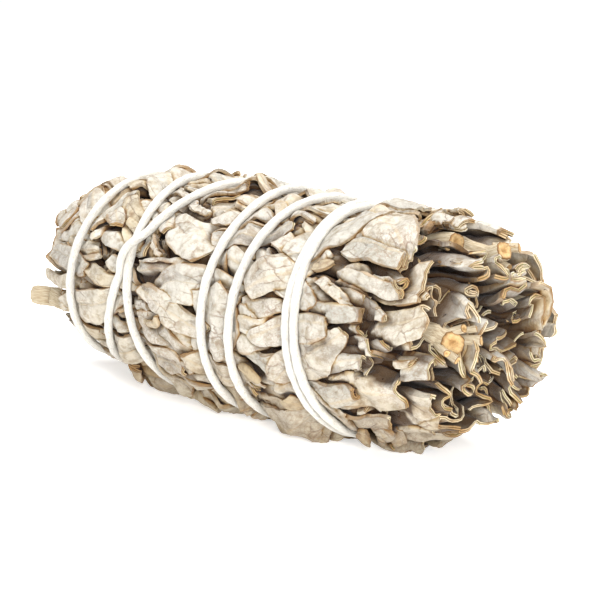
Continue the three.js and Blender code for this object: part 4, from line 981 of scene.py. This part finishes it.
# Painted shade: brown to near black deep between the leaves, and warm brown in the crevices, darkest where
# leaves touch
depth = times(plus(deep, times(minus(blotch, 0.5), 1.6)), 0.3)
colour = mix(ramp(depth, (0.22, 0.0), (0.5, 0.55), (0.8, 0.96)), colour, (0.062, 0.033, 0.014))
# Painted shade in the crevices: colour multiplied darker and browner the more sheltered a corner is
painted_crevice_shade = ramp(
    plus(sheltered, times(minus(fringe, 0.5), 0.25)),
    (0.1, 1.0), (0.32, (0.93, 0.83, 0.65)), (0.54, (0.68, 0.49, 0.27)), (0.73, (0.34, 0.175, 0.065)),
    (0.88, (0.11, 0.04, 0.01)))
colour = mix(1.0, colour, painted_crevice_shade, "MULTIPLY")
# Painted shade: the underside is darker and browner towards the bottom
height_on = node(tree, "SeparateXYZ", Vector=place_on).outputs["Z"]
painted_underside_shade = ramp(plus(times(height_on, 42.0), times(blotch, 0.3)), (0.15, (0.74, 0.65, 0.51)), (0.9, 1.0))
colour = mix(1.0, colour, painted_underside_shade, "MULTIPLY")
# The cut itself: the cream coats on both sides of a line of olive-green leaf, browned in places
coats = mix(ramp(fringe, (0.42, 0.0), (0.58, 1.0)), (0.66, 0.57, 0.38), (0.44, 0.275, 0.12))
colour = mix(ramp(core, (0.16, 0.0), (0.28, 0.85)), colour, coats)
green = mix(ramp(blotch, (0.44, 0.0), (0.6, 1.0)), (0.15, 0.08, 0.03), (0.17, 0.15, 0.045))
colour = mix(ramp(core, (0.62, 0.0), (0.84, 0.95)), colour, green)
# Flat facets where the leaf was crushed, veins, and felt
facet = node(tree, "TexVoronoi", {"feature": "F1"}, Vector=crushed_at, Scale=FACETS).outputs
tilted = vector("SUBTRACT", facet["Color"], (0.5, 0.5, 0.5))
from_middle = vector("SUBTRACT", crushed_at, facet["Position"])
facets = node(tree, "VectorMath", {"operation": "DOT_PRODUCT"}, i0=tilted, i1=from_middle).outputs["Value"]
heights = relief((felted["Height"], 0.00012), (veins, -0.00006), (midrib, 0.00012), (mottle, 0.0003),
                 (facets, 0.008), (creases, -0.00016))
shader = finish(tree, colour, ramp(mottle, (0.3, 0.86), (0.7, 0.97)), heights, 0.8, 0.2)
shader.inputs["Sheen Weight"].default_value = 0.12

LEAF_PIECES = {              # from which turn to which each piece holds the leaves, and what it stands for
    "leaves_top": (351, 38, "sprig_top"),
    "leaves_front": (38, 96, "sprig_front"),
    "leaves_low_front": (96, 143, "sprig_under"),
    "leaves_under": (143, 190, "sprig_under"),
    "leaves_low_back": (190, 250, "sprig_back"),
    "leaves_back": (250, 309, "sprig_back"),
    "leaves_top_back": (309, 351, "sprig_top_back"),
}
# Steps along a leaf, fine at the ends and coarse between, for leaves that lie at least so far out
STEPS = [(0.88, 0.64, 0.7), (0.75, 0.86, 1.3), (0.0, 0.86, 4.0)]
SHORT_LEAF, SHORT_STEP = 11, 0.5
LIFTED, SHOWN = 0.8, 0.72    # leaves this far out crumple fully, or may be seen
for name, (start, stop, stands_for) in LEAF_PIECES.items():
    blades = []
    for leaf in leaves:
        if (leaf["turn"] - start) % 360 >= (stop - start) % 360:
            continue
        share = outermost(leaf)
        fine, coarse = next(steps for least, *steps in STEPS if share > least)
        if leaf["length"] < SHORT_LEAF:
            fine = coarse = SHORT_STEP
        blades.append(blade(leaf, fine, coarse, 1.0 if share > LIFTED else 0.5, share > SHOWN))
    piece = mesh_piece(name, blades)
    piece.data.materials.append(sage)
    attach(piece, "root")
    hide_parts(stands_for)

# Painted shade, darker and browner where a face is sheltered: short rays from each corner tell how much of
# the open air near it other leaves take up. Corners deep inside the bundle need no rays.
NEAR_BY = 3.5                # length of a ray, millimetres
RAYS, LEAN = 6, 0.95         # one straight out, and the others leaning by this angle round it
INSIDE = 0.8                 # how sheltered a leaf inside the bundle is
meshes = [bpy.data.meshes[name] for name in LEAF_PIECES]
corners = [read(mesh.vertices, "co", 3) * 1000 for mesh in meshes]
starts = np.cumsum([0] + [len(part) for part in corners])
quads = [read(mesh.loops, "vertex_index", 4, np.int32) + start for mesh, start in zip(meshes, starts)]
leaves_near = BVHTree.FromPolygons(np.concatenate(corners).tolist(), np.concatenate(quads).tolist())
for mesh, co in zip(meshes, corners):
    normals = read(mesh.vertices, "normal", 3)
    shown = read(mesh.attributes["shown"].data, "value")
    side = unit(np.cross(normals, [0.36, 0.48, 0.8]), 1e-6)
    other = np.cross(normals, side)
    hidden = np.full(len(co), INSIDE)
    picked = np.nonzero((shown > 0.5) | (co[:, 0] > 34) | (co[:, 0] < -43))[0]
    taken = np.zeros(len(picked))
    for k in range(RAYS):
        angle, lean = k * 2 * pi / (RAYS - 1), LEAN if k < RAYS - 1 else 0.0
        way = normals * cos(lean) + (side * cos(angle) + other * sin(angle)) * sin(lean)
        starts = (co + normals * 0.05)[picked].tolist()
        for i, (start, towards) in enumerate(zip(starts, way[picked].tolist())):
            found = leaves_near.ray_cast(start, towards, NEAR_BY)[3]
            if found is not None:
                taken[i] += 1 - found / NEAR_BY
    hidden[picked] = taken / RAYS
    mesh.attributes.new("sheltered", "FLOAT", "POINT").data.foreach_set("value", hidden.astype(np.float32))
    mesh.attributes.remove(mesh.attributes["shown"])


# ---------------------------------------------------------------- The woody stems
# Each sprig's stem is a squarish woody shoot, a little thicker at its leaf joints, cut across or a
# little aslant with the bundle. The cut shows thin bark, pale wood and a tan pith, and beside it
# stand the short stalks of leaves that were pulled off.
CUT_RINGS = (0.14, 0.2, 0.24, 0.16, 0.12)              # widths of the rings of a cut face, from its rim
STEP_AT = [0, 0.2, 0.42, 0.66, 0.86, 1.0]              # the cut's relief, in shares of the radius
STEP_BY = [-0.28, -0.2, 0.0, 0.04, 0.06, -0.06]
UPWARDS = [0.0, 0.35, 0.94]  # angles round a stem are counted from here
JOINTS_EVERY = 13            # leaf joints thicken the stem at this spacing
# Stalks beside each cut: which stem, angle round it, distance back from its cut, length and lean
STALKS = [
    ("stem_front", 45, 3.0, 2.6, 32), ("stem_front", 270, 2.4, 2.6, 30), ("stem_front", 202, 2.5, 4.4, 30),
    ("stem_front", 224, 3.5, 4.6, 40), ("stem_front", 95, 2.6, 2.8, 28),
    ("stem_top", 150, 3.0, 3.2, 36), ("stem_top", 30, 3.4, 2.4, 30),
    ("stem_top_back", 120, 4.0, 3.6, 32), ("stem_top_back", 200, 3.0, 3.0, 34),
    ("stem_back", 90, 3.5, 4.0, 34), ("stem_under", 60, 4.0, 4.2, 32), ("stem_low_back", 300, 3.5, 3.6, 40),
]
# Stems cut aslant: how much further out each ends, and how far its cut turns to the open side
CUTS = {"stem_front": (1.2, 0.75), "stem_top": (2.2, 0.4), "stem_top_back": (-1.6, 0.3)}
STUB = 3                     # how much further the low front stem stands out of the far end


def choose(parts, wanted):
    """Selects the edges or faces that are wanted, and no others."""
    bpy.ops.mesh.select_all(action="DESELECT")
    bpy.ops.object.mode_set(mode="OBJECT")
    for part in parts:
        part.select = wanted(part)
    bpy.ops.object.mode_set(mode="EDIT")


def stem_blank(name, sides, rings):
    """A unit stem along Z with its cut ends stepped into bark, wood and pith."""
    bpy.ops.object.select_all(action="DESELECT")
    bpy.ops.mesh.primitive_cylinder_add(vertices=sides, radius=1, depth=1, end_fill_type="NGON")
    blank = bpy.context.object
    blank.name = name
    bpy.ops.object.mode_set(mode="EDIT")
    bpy.ops.mesh.select_mode(type="EDGE")
    height = [corner.co.z for corner in blank.data.vertices]
    choose(blank.data.edges, lambda edge: abs(height[edge.vertices[0]] - height[edge.vertices[1]]) > 0.5)
    bpy.ops.mesh.subdivide(number_cuts=rings)
    bpy.ops.mesh.select_mode(type="FACE")
    for end in (1, -1):
        choose(blank.data.polygons, lambda face: face.normal.z * end > 0.9)
        for thickness in CUT_RINGS:
            bpy.ops.mesh.inset(thickness=thickness, depth=0)
    bpy.ops.object.mode_set(mode="OBJECT")
    return blank


def along_line(places, marks, line):
    return np.stack([np.interp(places, marks, line[:, k]) for k in range(3)], 1)


def follow(piece, line, radius, ribs, seed, slanted):
    """Lays a unit stem along a line, in millimetres, and gives it its ribs, joints and uneven cut."""
    wild = np.random.default_rng(seed)
    mesh = piece.data
    co = read(mesh.vertices, "co", 3)
    steps = np.linspace(0, 1, len(line))
    share = co[:, 2] + 0.5
    run = unit(along_line(share, steps, np.gradient(line, axis=0)))
    side = unit(np.cross(run, UPWARDS))
    other = np.cross(run, side)
    reach, angle = np.hypot(co[:, 0], co[:, 1]), np.arctan2(co[:, 1], co[:, 0])
    length = np.linalg.norm(np.diff(line, axis=0), axis=1).sum()
    along = share * length
    uneven = 1 + 0.035 * np.sin(along * 1.1 + 3 * np.sin(angle + seed))
    uneven = uneven + 0.03 * np.sin(angle * 3 + along * 0.4 + seed)
    joint = 1 + 0.16 * np.exp(-(((along - 5) % JOINTS_EVERY - JOINTS_EVERY / 2) / 1.1) ** 2)
    wide = radius * reach * (1 - ribs * np.cos(4 * angle)) * (1 + 0.05 * np.cos(11 * angle + seed))
    wide = wide * uneven * joint

    def round_it(out):
        return side * (out * np.cos(angle))[:, None] + other * (out * np.sin(angle))[:, None]

    on_cut = np.where(np.abs(share - 0.5) > 0.499, 1.0, 0.0)
    rough = wild.normal(0, 0.05, len(co)) * (reach < 0.98) * on_cut
    step = np.interp(reach, STEP_AT, STEP_BY) * radius * on_cut
    slant = -slanted * (round_it(radius * reach) @ OPEN_SIDE) / np.maximum(np.abs(run @ OPEN_SIDE), 0.4)
    slant = slant * (share > 0.5) + 0.16 * radius * reach * np.cos(angle + seed) * on_cut
    last = smooth((along - length + 2.5 * radius) / (2.5 * radius))
    push = (rough * radius * 0.6 + step) * np.sign(share - 0.5) + slant * last
    laid = along_line(share, steps, line) + round_it(wide) + run * push[:, None]
    mesh.vertices.foreach_set("co", on_surface(laid).astype(np.float32).ravel())
    values = np.where(on_cut > 0, np.minimum(reach, 1.0), 1.2).astype(np.float32)
    mesh.attributes.new("ring", "FLOAT", "POINT").data.foreach_set("value", values)
    loops = read(mesh.loops, "vertex_index", 1, np.int32)
    lay_map(mesh, "grain", np.stack([along, angle * radius], 1)[loops])
    mesh.update()


stem_wood, tree, place_on = new_material("dry_sage_stem")
ring = node(tree, "Attribute", {"attribute_name": "ring"}).outputs["Fac"]
grain_map = node(tree, "UVMap", {"uv_map": "grain"}).outputs["UV"]
grain = noise(node(tree, "Mapping", Vector=grain_map, Scale=(0.35, 3.2, 1.0)).outputs[0], 1.6, 4.0, 0.6)
speckle, patch = noise(place_on, 1800.0, 3.0, 0.6), noise(place_on, 260.0, 3.0)
bark = ramp(grain, (0.3, (0.24, 0.165, 0.095)), (0.48, (0.42, 0.34, 0.225)), (0.66, (0.53, 0.465, 0.345)))
cut_face = ramp(
    plus(ring, times(minus(patch, 0.5), 0.22)),
    (0.0, (0.40, 0.21, 0.08)), (0.22, (0.56, 0.35, 0.15)), (0.5, (0.62, 0.42, 0.20)),
    (0.7, (0.60, 0.43, 0.22)), (0.84, (0.44, 0.27, 0.12)), (0.95, (0.17, 0.09, 0.035)))
cut_face = mix(0.6, cut_face, ramp(speckle, (0.35, (0.6, 0.5, 0.4)), (0.6, (1.05, 1.03, 1.0))), "MULTIPLY")
colour = mix(ramp(ring, (0.99, 0.0), (1.0, 1.0)), cut_face, bark)
heights = relief((grain, 0.00025), (speckle, 0.00015), (matted(place_on, 1.4)["Height"], 0.0001))
finish(tree, colour, ramp(speckle, (0.3, 0.75), (0.7, 0.9)), heights, 0.7, 0.25)

for number, (name, angle, out, radius, start, stop) in enumerate(STEMS):
    further, slanted = CUTS.get(name, (0, 0))
    xs = np.linspace(start - STUB * (name == "stem_low_front"), stop + further, 60)
    line, _, _ = place(xs, np.full(60, float(angle)), np.full(60, out * LOOSE))
    stem = stem_blank(name, 28, 90)
    follow(stem, line, radius, 0.06, number, slanted)
    joined = [stem]
    for k, (owner, round_it, back, length, lean) in enumerate(STALKS):
        if owner != name:
            continue
        run = unit(line[-1] - line[-8])
        side = unit(np.cross(run, UPWARDS))
        outwards = side * cos(radians(round_it)) + np.cross(run, side) * sin(radians(round_it))
        foot = line[-1] - run * back + outwards * radius * 0.5
        t = np.linspace(0, 1, 12)[:, None]
        away = outwards * sin(radians(lean)) + run * cos(radians(lean))
        path = foot + away * t * (length + radius * 0.5) + run * t * t * 0.8
        stalk = stem_blank(name + "_stalk", 14, 10)
        follow(stalk, path, 0.62 + 0.1 * (k % 3), 0.02, 40 + k, 0)
        joined.append(stalk)
    bpy.ops.object.select_all(action="DESELECT")
    for item in joined:
        item.select_set(True)
    bpy.context.view_layer.objects.active = stem
    if len(joined) > 1:
        bpy.ops.object.join()
    bpy.ops.object.shade_smooth_by_angle(angle=radians(50))
    stem.select_set(False)
    stem.data.materials.clear()
    stem.data.materials.append(stem_wood)
    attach(stem, "root")


# ---------------------------------------------------------------- The cotton string
# Soft white cotton cord of low twist, about 0.9 m of it, wound up the bundle and back and tied
# at the back with two turns round both strands. Its two ends lie cut on the leaves.
STRING_SIDES = 15
RING_STEP = 0.62             # between the rings of the cord
TWIST = 0.55                 # radians for each millimetre
KNOT_COILS = 2.25            # turns of the string round both strands
KNOT_SIZE = (2.36, 1.62, 2.9)          # half its width and depth, and its height
LOOSE_FIBRES = 1100
FIBRE_THICK = 0.026


def tube_faces(count, sides):
    """Faces round a tube of rings, and the two caps that close it."""
    index = np.arange(count * sides).reshape(count, sides)
    after = np.roll(index, -1, axis=1)
    quads = np.stack([index[:-1], after[:-1], after[1:], index[1:]], -1).reshape(-1, 4)
    return quads, [index[0][::-1], index[-1]]


def sweep(path, radius, spread_ends):
    """A cord of lightly twisted plies along a path, in millimetres, closed at both ends."""
    along = np.concatenate([[0], np.cumsum(np.linalg.norm(np.diff(path, axis=0), axis=1))])
    count = int(along[-1] / RING_STEP)
    marks = np.linspace(0, along[-1], count)
    centre = along_line(marks, along, path)
    for _ in range(2):
        centre[1:-1] = (centre[:-2] + 2 * centre[1:-1] + centre[2:]) / 4
    run = unit(np.gradient(centre, axis=0))
    out = centre * [0, 1, 1]
    side = unit(out - run * (out * run).sum(axis=1, keepdims=True))
    other = np.cross(run, side)
    angle = np.arange(STRING_SIDES) * 2 * pi / STRING_SIDES
    ply = 1 + 0.05 * np.cos(3 * (angle[None, :] - marks[:, None] * TWIST))
    soft = 1 + 0.05 * np.sin(marks * 0.55 + 2 * np.sin(marks * 0.13)) + 0.03 * np.sin(marks * 1.7)
    wide = radius * ply * soft[:, None]
    if spread_ends:
        wide = wide * (1 + 0.3 * (1 - smooth(np.minimum(marks, marks[-1] - marks) / 1.6)))[:, None]
    rings = centre[:, None, :] + side[:, None, :] * (wide * np.cos(angle))[..., None]
    rings = rings + other[:, None, :] * (wide * np.sin(angle))[..., None] * 0.97
    return rings.reshape(-1, 3), *tube_faces(count, STRING_SIDES), marks, angle


def fibre(foot, out, along, length, wild):
    """One loose fibre: a three-sided taper that leaves the cord and bends back along it."""
    t = np.linspace(0, 1, 4)[:, None]
    bent = length * t * t * wild.uniform(-0.9, 0.9)
    line = foot + out * (length * 0.55 * t * (1.2 - 0.5 * t)) + along * bent
    across = np.cross(out, along)
    thick = FIBRE_THICK * (1 - 0.75 * t)
    rings = []
    for angle in (0, 2 * pi / 3, 4 * pi / 3):
        rings.append(line + (along * cos(angle) + across * sin(angle)) * thick)
    return np.stack(rings, 1).reshape(-1, 3), *tube_faces(4, 3), np.arange(4) * 0.3, np.arange(3) * 2.0


def winding_piece(name, sweeps):
    """Joins cord and fibres into one mesh, with a map of how far along and round each point lies."""
    starts = np.cumsum([0] + [len(points) for points, *_ in sweeps])
    faces, flat = [], []
    for (points, quads, caps, marks, angle), start in zip(sweeps, starts):
        faces += (quads + start).tolist() + [(cap + start).tolist() for cap in caps]
        flat.append(np.stack([np.repeat(marks, len(angle)), np.tile(angle, len(marks))], 1))
    corners = np.concatenate([points for points, *_ in sweeps]) + [0, 0, AXIS_HEIGHT]
    corners[:, 2] = np.maximum(corners[:, 2], 0)
    mesh = bpy.data.meshes.new(name)
    mesh.from_pydata(((corners + MIDDLE) * 0.001).tolist(), [], faces)
    turned = np.concatenate(flat)[read(mesh.loops, "vertex_index", 1, np.int32)]
    for first in read(mesh.polygons, "loop_start", 1, np.int32):
        seam = turned[first:first + 4, 1]
        if len(seam) == 4 and np.ptp(seam) > pi:
            seam += np.where(seam < pi, 2 * pi, 0)
    lay_map(mesh, "fibres", turned)
    for face in mesh.polygons:
        face.use_smooth = len(face.vertices) == 4
    return linked(name, mesh)


turns, string_path = string_line(1.0)
knot_middle = sum(string_path[np.argmin(np.abs(turns - turn))] for turn in KNOT_TURNS) / 2
t = np.linspace(0, 1, 90)
reach = np.interp(t, [0, 0.08, 0.92, 1], [0.35, 1, 1, 0.35])
turned = 2 * pi * KNOT_COILS * t + 0.6
wide, deep, tall = KNOT_SIZE
coil = np.stack([wide * reach * np.cos(turned), deep * reach * np.sin(turned), tall * (t - 0.5)], 1)
sweeps = [sweep(string_path, STRING_THICK / 2, True), sweep(coil + knot_middle, STRING_THICK * 0.48, False)]
wild = np.random.default_rng(8)
for _ in range(LOOSE_FIBRES):
    i = wild.integers(20, len(string_path) - 20)
    along = unit(string_path[i + 1] - string_path[i - 1])
    out = unit(string_path[i] * [0, 1, 1])
    lean = wild.uniform(-1.5, 1.5)
    away = out * cos(lean) + np.cross(along, out) * sin(lean)
    foot = string_path[i] + away * STRING_THICK * 0.47
    sweeps.append(fibre(foot, away, along, wild.uniform(0.35, 1.1), wild))
string = winding_piece("cotton_string", sweeps)

cotton, tree, place_on = new_material("white_cotton")
fibre_map = node(tree, "UVMap", {"uv_map": "fibres"}).outputs["UV"]
lie = node(tree, "Mapping", Vector=fibre_map, Scale=(0.42, 2.0, 1.0), Rotation=(0.0, 0.0, 0.16)).outputs[0]
fibres, soil = noise(lie, 3.4, 5.0, 0.65), noise(place_on, 120.0, 2.0)
strand = node(tree, "TexWave", {"bands_direction": "Y"}, Vector=lie, Scale=0.75, Distortion=2.2, Detail=2.0)
colour = ramp(fibres, (0.34, (0.36, 0.32, 0.25)), (0.44, (0.63, 0.60, 0.54)), (0.6, (0.72, 0.705, 0.66)))
colour = mix(ramp(soil, (0.5, 0.0), (0.75, 0.3)), colour, (0.80, 0.74, 0.62))
heights = relief((fibres, 0.0002), (strand.outputs["Fac"], 0.00006))
shader = finish(tree, colour, ramp(fibres, (0.3, 0.8), (0.7, 0.92)), heights, 0.7, 0.2)
shader.inputs["Sheen Weight"].default_value = 0.2
string.data.materials.append(cotton)
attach(string, "root")
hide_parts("string")


# ---------------------------------------------------------------- The studio
# A flat white paper floor under broad soft light from above, with the camera low at the cut end.
bpy.ops.object.select_all(action="DESELECT")
bpy.ops.mesh.primitive_plane_add(size=6, location=(0, 0, 0))
floor = bpy.context.object
floor.name = "floor"
paper, tree, place_on = new_material("white_paper")
shader = tree.nodes["Principled BSDF"]
tree.links.new(ramp(noise(place_on, 3.0, 2.0), (0.3, 0.93), (0.7, 0.95)), shader.inputs["Base Color"])
shader.inputs["Roughness"].default_value = 0.9
shader.inputs["Emission Color"].default_value = (1, 1, 1, 1)
shader.inputs["Emission Strength"].default_value = 0.5
floor.data.materials.append(paper)
floor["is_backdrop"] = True

LIGHTS = [                   # place, watts and size
    ("key", (-0.18, -0.22, 0.5), 1.8, 0.2),
    ("top", (0.05, 0.15, 0.6), 5.0, 0.35),
    ("front", (0.42, -0.31, 0.22), 2.8, 0.16),
]
AZIMUTH, ELEVATION, DISTANCE = radians(44.42), radians(14.22), 0.370
LOOKS_AT = Vector((0.00295, -0.0002, 0.02158))


def aimed(name, data, at, towards):
    """Places a light or the camera, turned towards a point."""
    thing = linked(name, data)
    thing.location = at
    thing.rotation_euler = (Vector(towards) - Vector(at)).to_track_quat("-Z", "Y").to_euler()
    return thing


world = bpy.data.worlds.new("studio")
bpy.context.scene.world = world
world.use_nodes = True
sky = world.node_tree.nodes["Background"].inputs
sky["Color"].default_value = (1, 1, 1, 1)
sky["Strength"].default_value = 0.22
for name, light_at, energy, size in LIGHTS:
    light = bpy.data.lights.new(name, "AREA")
    light.energy = energy
    light.size = size
    aimed(name, light, light_at, (0, 0, 0.02))
back = Vector((sin(AZIMUTH) * cos(ELEVATION), -cos(AZIMUTH) * cos(ELEVATION), sin(ELEVATION)))
lens = bpy.data.cameras.new("camera")
lens.lens = 125
lens.sensor_width = 36
lens.clip_start = 0.01
bpy.context.scene.camera = aimed("camera", lens, LOOKS_AT + back * DISTANCE, LOOKS_AT)
bpy.context.scene.view_settings.view_transform = "Standard"

low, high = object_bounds()
